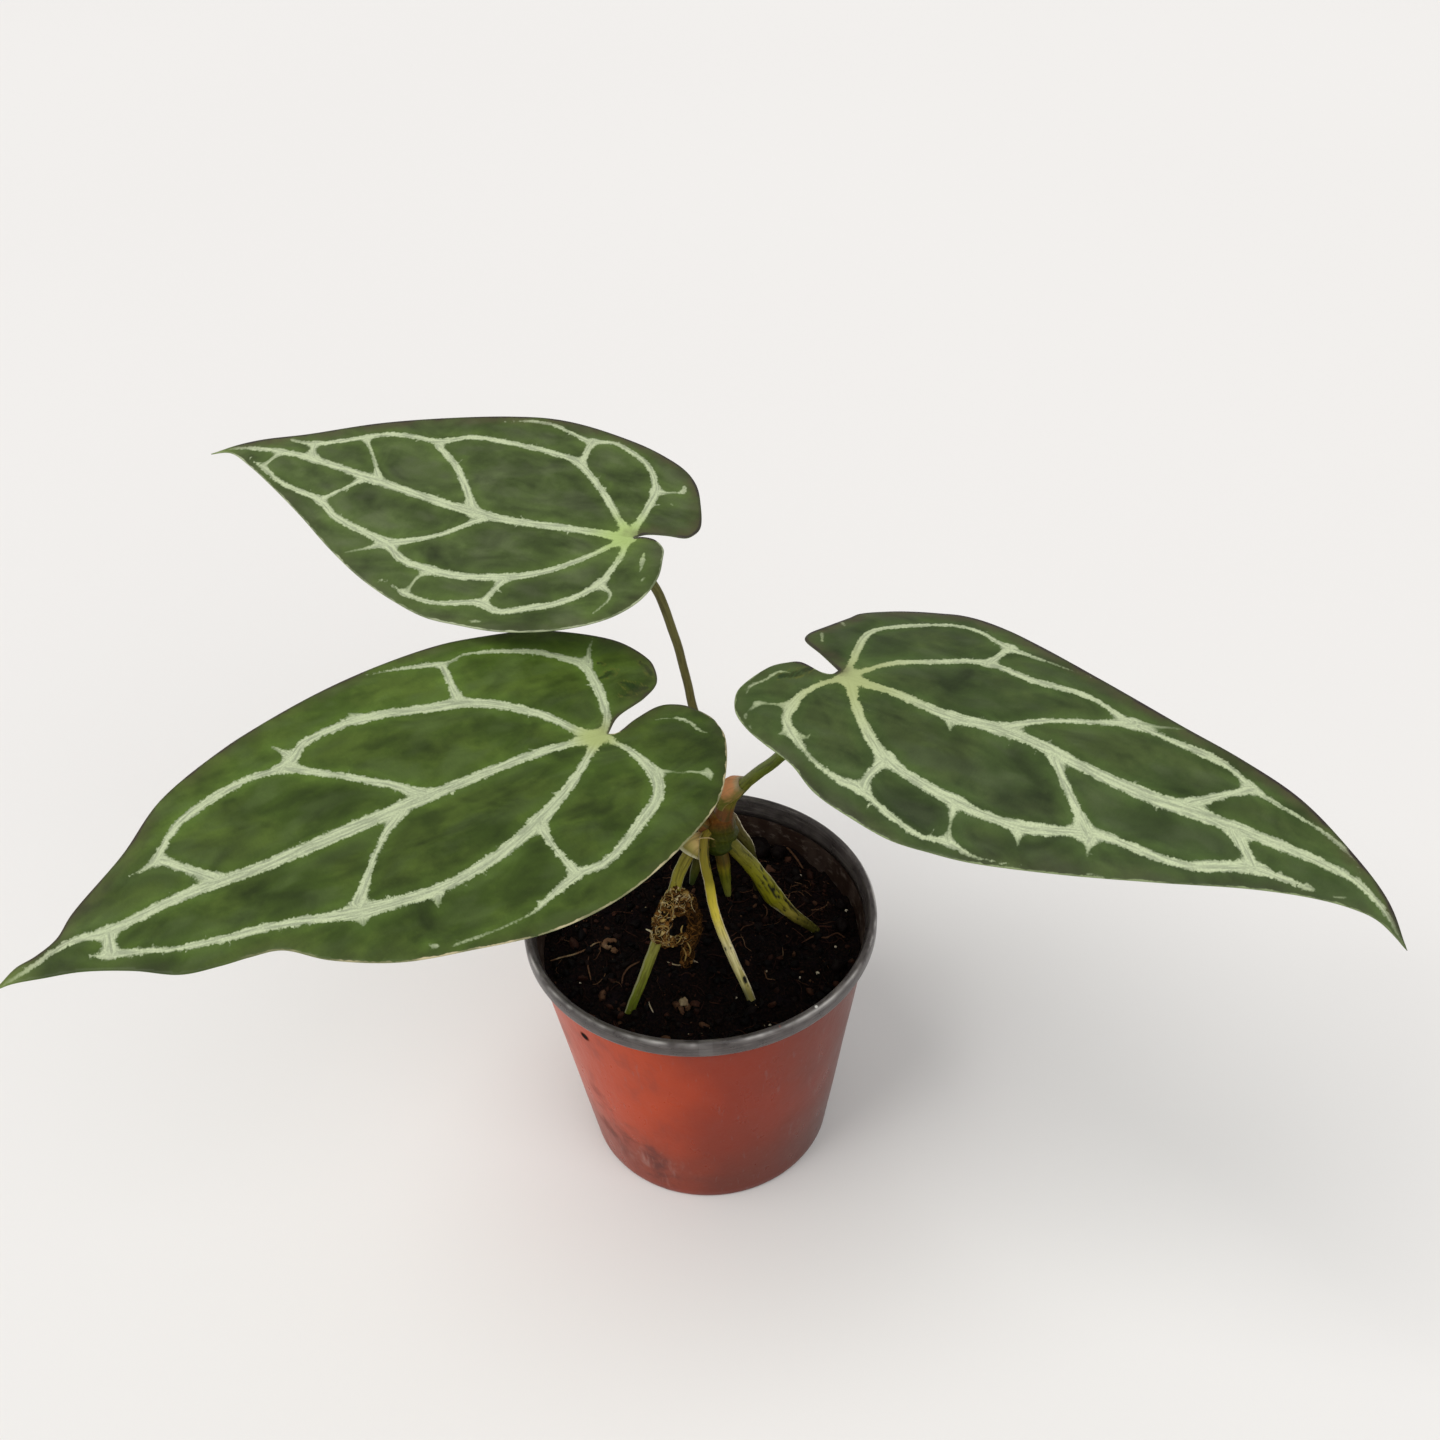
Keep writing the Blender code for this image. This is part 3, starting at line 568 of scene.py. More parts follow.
@cache
def ball(level: int) -> tuple[np.ndarray, Faces]:
    """The vertices and faces of a unit ball.

    Args:
        level: How fine it is.

    Returns:
        Its vertices and faces.
    """
    shape = bmesh.new()
    bmesh.ops.create_icosphere(shape, subdivisions=level, radius=1.0)
    points = np.array([vertex.co[:] for vertex in shape.verts])
    faces = [tuple(vertex.index for vertex in face.verts) for face in shape.faces]
    shape.free()
    return points, faces


def lump(centre: Point, size: Point, seed: int, rough: float, level: int, tone: float) -> Skin:
    """An uneven crumb.

    Args:
        centre: Where it is.
        size: Its half sizes.
        seed: Its shape and turn.
        rough: How uneven it is.
        level: How fine its mesh is.
        tone: A value that all its vertices carry.

    Returns:
        The skin.
    """
    shape, faces = ball(level)
    swell = 1 + rough * ripple(shape, 0.9, seed) + 0.4 * rough * ripple(shape, 0.35, seed + 0.5)
    axis = Vector((math.sin(seed), math.cos(seed), 0.6))
    turn = np.array(Matrix.Rotation(seed * 2.399, 3, axis))
    points = (shape * swell[:, None] * np.asarray(size)) @ turn.T + np.asarray(centre)
    return Skin(points, faces, {"tone": np.full(len(points), tone)})


def strand(points: Sequence[Point], radius: float, tone: float, sides: int, step: float) -> Skin:
    """A thin fibre through points, tapered at both ends.

    Args:
        points: The points that it passes.
        radius: Its radius at the middle.
        tone: The value that it carries.
        sides: How many sides it has.
        step: Spacing of its rings.

    Returns:
        The skin.
    """
    path = spline(points, step)
    share = np.linspace(0, 1, len(path))
    radii = radius * (0.35 + 0.65 * np.sqrt(np.clip(4 * share * (1 - share), 0, 1)))
    skin = tube(path, radii, sides, tone)
    return Skin(skin.points, skin.faces, {"tone": skin.values["tone"]})


# Leaves

@dataclass(frozen=True)
class Vein:
    """A vein: the points that it passes, in leaf millimetres, and its widths at even stations."""

    points: tuple[tuple[float, float], ...]
    widths: tuple[float, ...]
    tail: float = 0.0        # it breaks up into specks over this length at its end


@dataclass(frozen=True)
class LeafFinish:
    """Colours of one blade."""

    deep: Colour = (0.036, 0.062, 0.008)
    warm: Colour = (0.056, 0.088, 0.013)
    fresh: Colour = (0.072, 0.125, 0.018)
    # The haze colour is painted sheen: greyish gloss laid in patches over the green.
    painted_sheen: Colour = (0.058, 0.086, 0.027)
    silver: Colour = (0.495, 0.560, 0.348)
    grey: Colour = (0.29, 0.33, 0.215)
    lime: Colour = (0.37, 0.43, 0.15)
    glow: Colour = (0.105, 0.165, 0.030)
    # The rust colour is partly a yellowish tint and partly painted highlight at the blotches'
    # edges; the scar colour is painted shadow in creases.
    crease_tint_and_highlight: Colour = (0.115, 0.120, 0.022)
    crease_shadow: Colour = (0.009, 0.024, 0.005)
    under: Colour = (0.20, 0.28, 0.11)
    tint: Colour = (0.078, 0.060, 0.034)
    tip: Colour = (0.16, 0.22, 0.05)
    left_edge: Colour = (0.10, 0.12, 0.05)
    left_width: float = 0.6
    left_tint: float = 0.12
    right_edge: Colour = (0.05, 0.03, 0.025)
    right_width: float = 1.4
    right_tint: float = 0.5
    edge_reach: float = 200.0    # how far from the petiole the left edge's line runs
    glow_share: float = 0.35
    heart_reach: float = 10.0    # how far the veins are yellow-green from the petiole
    roughness: float = 0.46
    fray: float = 0.8            # how ragged the veins' edges are
    slim: float = 0.05
    left_gain: float = 0.0       # how much lighter the blade is towards either margin
    right_gain: float = 0.0

    def material(self, name: str, seed: int) -> bpy.types.Material:
        """The blade's material, driven by what its mesh carries.

        Args:
            name: The material's name.
            seed: Shifts its noises.

        Returns:
            The material.
        """
        g = Graph(name)
        leaf = g.vector("leaf") + (31.0 * seed, 17.0 * seed, 0.0)
        track, breadth, tail = g.vector("track"), g.value("breadth"), g.value("tail")
        vein, rim, heart, blotch = (g.value(key) for key in ("vein", "rim", "heart", "blotch"))
        grain = g.noise(leaf, 0.55, 3.0, 0.6)
        mottle = g.noise(leaf, 2.6, 3.0, 0.6)

        # The veins' ragged edges, broken into specks at their tails
        fray = g.noise(track * (1.25, 0.60, 1.0), 1.0, 5.0, 0.82)
        wander = g.noise(leaf, 2.8, 1.0)
        thin = g.step(breadth, 1.3, 0.5)
        edge = (vein + self.slim - (fray - 0.5) * (2.9 - thin * 2.0) * self.fray
                - (wander - 0.5) * (1.1 - thin * 0.8) * self.fray)
        edge = edge + tail * (g.noise(leaf, 1.3, 2.0, 0.65) - 0.36) * 3.2
        silver = g.step(edge, 0.17, -0.15)

        # The green between the veins
        # veil lays the painted sheen where it is high and darker green patches where it is low.
        veil = g.noise(leaf * (0.7, 1.3, 1.0) + (50.0, 0.0, 0.0), 8.0, 2.0, 0.5)
        cloud = g.noise(leaf, 17.0, 2.0) + (mottle - 0.5) * 0.4
        lamina = g.mix(g.step(cloud, 0.36, 0.62), self.deep, self.warm)
        lamina = g.mix(g.step(veil, 0.47, 0.66) * 0.7, lamina, self.painted_sheen)
        dark = tuple(0.55 * part for part in self.deep)
        lamina = g.mix(g.step(veil, 0.45, 0.28) * 0.6, lamina, dark)
        lamina = g.mix(g.step(vein, 3.2, 0.0) * 0.45, lamina, self.fresh)
        lamina = g.mix(g.step(heart, 9.0, 1.5) * self.glow_share, lamina, self.glow)
        ribs = g.noise(leaf * (2.4, 0.5, 1.0), 1.0, 2.0, 0.6)
        lamina = lamina * (0.82 + grain * 0.22 + ribs * 0.14)
        broad = g.noise(leaf * (0.75, 1.25, 1.0) + (0.0, 90.0, 0.0), 10.0, 3.0, 0.55, 0.6)
        across = g.part(g.vector("leaf"), "Y")
        gain = (g.step(across, 3.0, 28.0) * self.left_gain
                + g.step(across, -3.0, -28.0) * self.right_gain)
        lamina = lamina * (0.01 + broad * 1.98 + gain)
        # The blotches: painted shadows of creases, with a fringe that is partly a yellowish tint
        # and partly painted highlight.
        crease_tint_and_highlight = g.step(blotch, 0.02, 0.30) * g.step(ribs, 0.46, 0.62) * 0.6
        lamina = g.mix(crease_tint_and_highlight, lamina, self.crease_tint_and_highlight)
        crease_shadow = g.step(blotch + (mottle - 0.5) * 1.4 + (ribs - 0.5) * 1.2, 0.42, 1.0) * 0.75
        lamina = g.mix(crease_shadow, lamina, self.crease_shadow)

        # The pale veins, yellow-green near the petiole
        streak = g.noise(track * (0.16, 1.7, 1.0), 1.0, 3.0, 0.6)
        pale = g.mix(g.step(streak, 0.44, 0.62) * 0.85, self.silver, self.grey)
        pale = pale * (0.62 + g.noise(leaf, 0.42, 2.0, 0.7) * 0.76)
        crest = g.value("crest") + (streak - 0.5) * 0.3
        pale = g.mix(g.step(crest, 0.24, 0.06) * g.step(breadth, 1.9, 2.8) * 0.55, pale, self.grey)
        pale = g.mix(g.step(edge, -0.50, 0.08) * 0.35 + thin * 0.3, pale, self.fresh)
        near_heart = g.step(heart, self.heart_reach, 1.5)
        pale = g.mix(near_heart * near_heart * 0.85, pale, self.lime)
        colour = g.mix(silver, lamina, pale)

        # The margins, the tip and the underside
        left = g.step(g.value("bank"), -0.3, 0.3)
        right = 1.0 - left
        broken = 0.35 + g.step(g.noise(leaf, 8.0, 2.0), 0.38, 0.58) * 0.65
        stain = g.step(rim + (mottle - 0.5) * 3.4, 4.2, 0.3) * broken
        stain = stain * (left * self.left_tint + right * self.right_tint)
        colour = g.mix(stain, colour, self.tint)
        uneven = rim + (mottle - 0.5) * 1.1
        reach = g.step(heart, self.edge_reach, self.edge_reach * 0.7)
        left_line = g.step(uneven, self.left_width, self.left_width * 0.35) * left * broken * reach
        colour = g.mix(left_line, colour, self.left_edge)
        right_line = g.step(uneven, self.right_width, self.right_width * 0.3) * right * broken
        colour = g.mix(right_line, colour, self.right_edge)
        colour = g.mix(g.value("point") * 0.8, colour, self.tip)
        under = g.mix(g.step(edge, 0.3, -0.5), self.under, self.silver) * (0.75 + grain * 0.5)
        relief = grain * 0.5 + mottle * 0.5 + silver * 0.35
        return g.dressed(Base_Color=g.mix(g.value("top"), under, colour),
                         Roughness=self.roughness + (mottle - 0.5) * 0.16 + silver * 0.05,
                         Specular_IOR_Level=0.20, Normal=g.bump(relief, 0.10, 0.55))


@dataclass
class LeafSurface:
    """The upper face of a blade, curved over its length u and width v. Angles are in degrees."""

    SPAN = 135.0             # the length over which the droop, bend and twist are reached

    seat: Spot
    azimuth: float
    pitch: float
    roll: float
    droop: float
    bend: float
    twist: float
    arch: float              # how far it curves down to both sides
    fold: float
    lobe: float

    def __post_init__(self) -> None:
        """Works out the leaf's own axes and the line of its midrib."""
        azimuth, pitch, roll = (math.radians(k) for k in (self.azimuth, self.pitch, self.roll))
        forward = np.array([math.cos(azimuth), math.sin(azimuth), 0.0]) * math.cos(pitch)
        forward[2] = math.sin(pitch)
        level = np.array([-math.sin(azimuth), math.cos(azimuth), 0.0])
        left = level * math.cos(roll) + np.cross(forward, level) * math.sin(roll)
        self.axes = np.stack([forward, left, np.cross(forward, left)])
        self.u = np.linspace(-0.5 * self.SPAN, 1.15 * self.SPAN, 661)
        droop, turn = self.angles(self.u)
        step = self.u[1] - self.u[0]
        self.line = []
        for slope in (np.cos(droop) * np.cos(turn), np.cos(droop) * np.sin(turn), -np.sin(droop)):
            total = np.concatenate([[0.0], np.cumsum((slope[1:] + slope[:-1]) / 2) * step])
            self.line.append(total - np.interp(0.0, self.u, total))

    def angles(self, u: np.ndarray) -> tuple[np.ndarray, np.ndarray]:
        """Droop and sideways turn of the midrib in radians, at distances along it."""
        t = u / self.SPAN
        droop, lobe, bend = (math.radians(k) for k in (self.droop, self.lobe, self.bend))
        return np.where(t > 0, droop * np.abs(t) ** 1.5, lobe * t), np.where(t > 0, bend * t, 0.0)

    def point(self, u: np.ndarray, v: np.ndarray) -> np.ndarray:
        """World points of the surface.

        Args:
            u: Distance along the midrib.
            v: Distance to its left.

        Returns:
            Points in millimetres.
        """
        u, v = np.asarray(u, float), np.asarray(v, float)
        x, y, z = (np.interp(u, self.u, line) for line in self.line)
        droop, turn = self.angles(u)
        twist = math.radians(self.twist) * np.clip(u / self.SPAN, -0.5, 1.2)
        fold = math.radians(self.fold)
        sag = math.sin(fold) * (np.sqrt(v * v + 4.0) - 2.0) + 0.0005 * self.arch * v * v
        side = v * math.cos(fold)
        across = side * np.cos(twist) + sag * np.sin(twist)
        down = sag * np.cos(twist) - side * np.sin(twist)
        x = x - across * np.sin(turn) - down * np.sin(droop) * np.cos(turn)
        y = y + across * np.cos(turn) - down * np.sin(droop) * np.sin(turn)
        z = z - down * np.cos(droop)
        return np.stack([x, y, z], axis=-1) @ self.axes + np.array(self.seat)

    def normal(self, u: np.ndarray, v: np.ndarray) -> np.ndarray:
        """Upward unit normals at places of the surface."""
        along = self.point(u + 0.5, v) - self.point(u - 0.5, v)
        normals = np.cross(along, self.point(u, v + 0.5) - self.point(u, v - 0.5))
        return normals / np.linalg.norm(normals, axis=-1, keepdims=True)


@dataclass(frozen=True)
class Near:
    """How a set of points lies to the nearest place of a line."""

    gap: np.ndarray
    along: np.ndarray
    share: np.ndarray
    side: np.ndarray         # 1 to its left and -1 to its right


def near_line(points: np.ndarray, line: np.ndarray) -> Near:
    """Finds the nearest place of a polyline for each point.

    Args:
        points: Flat points.
        line: The polyline.

    Returns:
        How each point lies to it.
    """
    start, end = line[:-1], line[1:]
    reach = end - start
    t = np.einsum("pik,ik->pi", points[:, None, :] - start[None], reach) / (reach ** 2).sum(axis=1)
    t = np.clip(t, 0, 1)
    away = points[:, None, :] - (start[None] + reach[None] * t[..., None])
    gap = np.linalg.norm(away, axis=2)
    best = gap.argmin(axis=1)
    rows = np.arange(len(points))
    along = arc_length(line)
    place = along[best] + t[rows, best] * (along[best + 1] - along[best])
    turn = reach[best, 0] * away[rows, best, 1] - reach[best, 1] * away[rows, best, 0]
    return Near(gap[rows, best], place, place / along[-1], np.where(turn >= 0, 1.0, -1.0))


def inside(points: np.ndarray, outline: np.ndarray) -> np.ndarray:
    """Whether each point lies inside a closed outline.

    Args:
        points: Flat points.
        outline: The outline.

    Returns:
        True for each that does.
    """
    x, y = points.T
    hit = np.zeros(len(points), bool)
    for (ax, ay), (bx, by) in zip(outline, np.roll(outline, -1, axis=0)):
        if ay != by:
            hit ^= ((ay > y) != (by > y)) & (x < (bx - ax) * (y - ay) / (by - ay) + ax)
    return hit


def near_margin(flat: np.ndarray, outline: np.ndarray) -> np.ndarray:
    """Distance of each flat point to a closed outline."""
    closed, count = np.vstack([outline, outline[:1]]), 4 * len(outline)
    return gap_to(flat, at_length(closed, np.linspace(0, arc_length(closed)[-1], count)))


@dataclass
class Blade:
    """A heart-shaped blade with its vein net, on the same curved surface as its CAD node."""

    LONG = (-32, 134)            # its mesh is cut from a lattice of this length and width
    WIDE = (-50, 50)

    name: str
    seed: int
    surface: LeafSurface
    left: tuple[tuple[float, float], ...]
    right: tuple[tuple[float, float], ...]
    veins: tuple[Vein, ...]
    finish: LeafFinish
    # Dark strokes that are painted shadows of creases.
    blotches: tuple[Vein, ...] = ()
    thickness: float = 0.5
    edge_thickness: float = 0.3
    inset: float = 0.12          # keeps the rounded margin inside the CAD outline
    bulge: float = 0.08          # how far the middle of the margin stands out
    pucker: float = 0.32         # how far the blade swells between its veins
    rib_top: float = 0.16
    rib_under: float = 0.75
    fine: float = 0.56           # spacing of the mesh by the veins and the margin
    vein_reach: float = 3.6      # how far from a vein the fine mesh runs
    margin_reach: float = 2.0
    web: float = 0.85            # how far veins flow into each other at a fork
    far: float = 12.0            # vein distances end here

    def __post_init__(self) -> None:
        """Lays the outline."""
        left, right = spline(self.left, self.fine), spline(self.right, self.fine)
        outline = np.vstack([left, right[-2:0:-1]])
        along = np.roll(outline, -1, axis=0) - np.roll(outline, 1, axis=0)
        out = np.stack([along[:, 1], -along[:, 0]], axis=1) / np.linalg.norm(along, axis=1)[:, None]
        x, y = outline.T
        area = np.sum(x * np.roll(y, -1) - np.roll(x, -1) * y)
        self.tip = np.array(self.left[-1])
        inset = self.inset * np.clip(np.hypot(*(outline - self.tip).T) / 2.5, 0, 1)
        self.outline = outline - out * inset[:, None] * math.copysign(1.0, area)

    def lattice(self) -> np.ndarray:
        """Flat points inside the blade, dense by the veins and the margin and sparser between.

        Returns:
            The points in leaf millimetres.
        """
        fine, wide = [], []
        for k, u in enumerate(np.arange(*self.LONG, self.fine * ROW)):
            line = np.arange(*self.WIDE, self.fine) + (k % 2) * self.fine / 2
            fine.append(np.column_stack([np.full(len(line), u), line]))
            wide.append((np.arange(len(line)) % 2 == (k // 2) % 2) & (k % 2 == 0))
        fine, wide = np.vstack(fine), np.concatenate(wide)
        keep = inside(fine, self.outline)
        fine, wide = fine[keep], wide[keep]
        margin = near_margin(fine, self.outline)
        lines = np.vstack([spline(vein.points, 0.8) for vein in self.veins])
        dense = (gap_to(fine, lines) < self.vein_reach) | (margin < self.margin_reach)
        return fine[(margin > 0.35) & (dense | wide)]

    def whiskers(self) -> Iterator[tuple[np.ndarray, np.ndarray, float]]:
        """Short whiskers that leave the veins on both sides.

        Yields:
            The start, the reach and the half width of each.
        """
        rng = random.Random(self.seed)
        for vein in self.veins:
            line = spline(vein.points, 0.5)
            widths = spread(vein.widths, len(line))
            along = np.gradient(line, axis=0)
            along /= np.linalg.norm(along, axis=1)[:, None]
            k = rng.uniform(1, 4)
            while k < len(line) - 1:
                start = line[int(k)]
                side = rng.choice((-1, 1))
                lean = math.radians(rng.uniform(38, 78)) * side
                c, s = math.cos(lean), math.sin(lean)
                length = widths[int(k)] * 0.5 + min(0.25 + rng.expovariate(2.6), 2.2)
                reach = np.array([[c, -s], [s, c]]) @ along[int(k)] * length
                yield start, reach, rng.uniform(0.10, 0.20) + 0.05 * length
                k += rng.uniform(2.0, 10.0)

    def whiskered(self, flat: np.ndarray, vein: np.ndarray) -> np.ndarray:
        """The distance to the veins' edges with the whiskers taken in.

        Args:
            flat: The points in leaf millimetres.
            vein: The distance without them.

        Returns:
            The new distance.
        """
        result = vein.copy()
        for start, reach, half in self.whiskers():
            box = np.abs(flat - (start + reach / 2)) < np.abs(reach) / 2 + 1.2
            near = np.flatnonzero(box.all(axis=1))
            away = flat[near] - start
            t = np.clip(away @ reach / (reach @ reach), 0, 1)
            gap = np.linalg.norm(away - t[:, None] * reach, axis=1)
            result[near] = np.minimum(result[near], gap - half * (1.05 - t))
        return result

    def net(self, flat: np.ndarray) -> dict[str, np.ndarray]:
        """What the vein net gives each point of the blade.

        Args:
            flat: The points in leaf millimetres.

        Returns:
            Distance to the nearest vein's edge, its track, how far it has broken up, how near its
            crest the point is, and its width.
        """
        count = len(flat)
        total, tail, breadth = np.zeros(count), np.zeros(count), np.zeros(count)
        best, crest, track = np.full(count, 99.0), np.full(count, 9.0), np.zeros((count, 3))
        for index, vein in enumerate(self.veins):
            line = spline(vein.points, 1.2)
            close = np.all((flat > line.min(axis=0) - 9) & (flat < line.max(axis=0) + 9), axis=1)
            near = near_line(flat[close], line)
            width = at_share(vein.widths, near.share)
            edge = near.gap - width / 2
            total[close] += np.exp(-np.maximum(edge, -3) / self.web)
            nearer = np.zeros(count, bool)
            nearer[close] = edge < best[close]
            chosen = nearer[close]
            best[nearer] = edge[chosen]
            track[nearer] = np.column_stack([near.along + 40 * index, near.gap * near.side,
                                             np.full(len(near.gap), 7.0 * index)])[chosen]
            if vein.tail:
                left_over = near.along - arc_length(line)[-1] + vein.tail
                tail[nearer] = np.clip(left_over / vein.tail, 0, 1)[chosen]
            else:
                tail[nearer] = 0.0
            crest[nearer] = (near.gap / np.maximum(width / 2, 0.1))[chosen]
            breadth[nearer] = width[chosen]
        smooth = np.where(total > 0, -self.web * np.log(np.maximum(total, 1e-9)), self.far)
        return {"vein": np.minimum(smooth, self.far), "track": track, "tail": tail,
                "crest": np.clip(crest, 0, 9), "breadth": breadth}

    def blotched(self, flat: np.ndarray) -> np.ndarray:
        """How far each point lies in one of the dark blotches, the painted shadows of creases, from
        0 to 1.

        Args:
            flat: The points in leaf millimetres.

        Returns:
            The share at each point.
        """
        depth = np.zeros(len(flat))
        for mark in self.blotches:
            near = near_line(flat, spline(mark.points, 0.8))
            half = at_share(mark.widths, near.share) / 2
            depth = np.maximum(depth, np.clip(1.3 - 0.8 * near.gap / half, 0, 1))
        return depth

    def skin(self) -> Skin:
        """The blade's closed skin, with all that its finish reads.

        Returns:
            The skin.
        """
        flat, faces = filled(self.outline, self.lattice(), 0.02)
        values = self.net(flat)
        vein, rim = values["vein"], near_margin(flat, self.outline)
        midrib = near_line(flat, spline(self.veins[0].points + (tuple(self.tip),), 3.0))
        values.update(
            vein=self.whiskered(flat, vein), rim=rim, blotch=self.blotched(flat),
            leaf=upright(flat), heart=np.hypot(flat[:, 0] - 1.0, flat[:, 1]),
            bank=midrib.side * np.clip(midrib.gap, 0, 1),
            point=np.clip(1 - np.hypot(*(flat - self.tip).T) / 9.0, 0, 1))

        between = 1 - np.exp(-np.clip(vein, 0, self.far) / 3.2)
        calm = np.clip(rim / 4.0, 0, 1)
        waves = 0.12 * ripple(upright(flat, 3.0 * self.seed), 9.0, self.seed)
        top = self.pucker * between * calm + waves * calm
        top = top + self.rib_top * np.sqrt(np.clip(0.5 - vein / 1.6, 0, 1)) * calm
        ridge = np.clip(1 - values["crest"] ** 2, 0, 1) * np.clip(values["breadth"] / 3.0, 0, 1)
        thick = self.edge_thickness + (self.thickness - self.edge_thickness) * calm
        under = thick - top * 0.8 + self.rib_under * np.sqrt(ridge) * calm * (1 - values["tail"])
        base, normals = self.surface.point(*flat.T), self.surface.normal(*flat.T)
        return self.closed(flat, faces, base + normals * top[:, None],
                           base - normals * under[:, None], values)

    def closed(self, flat: np.ndarray, faces: Faces, upper: np.ndarray, lower: np.ndarray,
               values: dict[str, np.ndarray]) -> Skin:
        """Joins both faces of the blade by a rounded margin.

        Args:
            flat: The points in leaf millimetres.
            faces: Triangles of the upper face.
            upper: Points of the upper face.
            lower: Points of the lower face.
            values: What each point carries.

        Returns:
            The closed skin.
        """
        count = len(flat)
        sides = {(a, b) for face in faces for a, b in zip(face, face[1:] + face[:1])}
        rim = {a: b for a, b in sides if (b, a) not in sides}
        back = {b: a for a, b in rim.items()}
        order = list(rim)
        place = {a: 2 * count + k for k, a in enumerate(order)}
        along = upper[[rim[a] for a in order]] - upper[[back[a] for a in order]]
        out = np.cross(along, self.surface.normal(*flat[order].T))
        out /= np.linalg.norm(out, axis=1)[:, None]
        middle = (upper[order] + lower[order]) / 2 + out * self.bulge
        solid = faces + [tuple(i + count for i in reversed(face)) for face in faces]
        for a, b in rim.items():
            solid.append((b, a, place[a], place[b]))
            solid.append((place[b], place[a], a + count, b + count))
        joined = {key: np.concatenate([value, value, value[order]])
                  for key, value in values.items()}
        joined["top"] = np.concatenate([np.ones(count), np.zeros(count), np.full(len(order), 0.6)])
        return Skin(np.vstack([upper, lower, middle]), solid, joined)

    def build(self) -> None:
        """Makes the piece in place of its node."""
        self.skin().piece("leaf_" + self.name, self.finish.material("leaf " + self.name, self.seed),
                          Slot.BLADE, ["blade_" + self.name])


# Stalks, roots and the stem

@dataclass(frozen=True)
class StalkFinish:
    """Colours of a petiole or a root along its length."""

    stops: Stops
    streak: Colour
    fleck: Colour
    streak_share: float
    fleck_share: float
    roughness: float
    ridge: Colour = (0.36, 0.32, 0.20)
    crack: Colour = (0.006, 0.006, 0.004)

    def material(self, name: str) -> bpy.types.Material:
        """The stalk's material, with streaks along it, flecks and a pale ridge.

        Args:
            name: The material's name.

        Returns:
            The material.
        """
        g = Graph(name)
        skin = g.vector("unrolled")
        drift = g.noise(g.place(), 6.0)
        colour = g.ramp(g.value("along") + (drift - 0.5) * 0.12, self.stops)
        streak = g.noise(skin * (1.5, 1.5, 0.16), 1.0, 2.0, 0.6)
        colour = g.mix(g.step(streak, 0.46, 0.66) * self.streak_share, colour, self.streak)
        fleck = g.noise(skin, 0.7, 3.0, 0.65)
        colour = g.mix(g.step(fleck, 0.56, 0.70) * self.fleck_share, colour, self.fleck)
        ridge = g.value("ridge") + (streak - 0.5) * 0.5
        colour = g.mix(g.step(ridge, 0.25, 0.75) * 0.8, colour, self.ridge)
        return g.dressed(Base_Color=g.mix(g.value("tone"), colour, self.crack),
                         Roughness=self.roughness + (fleck - 0.5) * 0.2, Specular_IOR_Level=0.15,
                         Normal=g.bump(streak * 0.6 + fleck * 0.4, 0.12, 0.7))


@dataclass(frozen=True)
class Crack:
    """A dark split along a root: where it starts and ends in millimetres, its side and width."""

    start: float
    end: float
    angle: float
    width: float


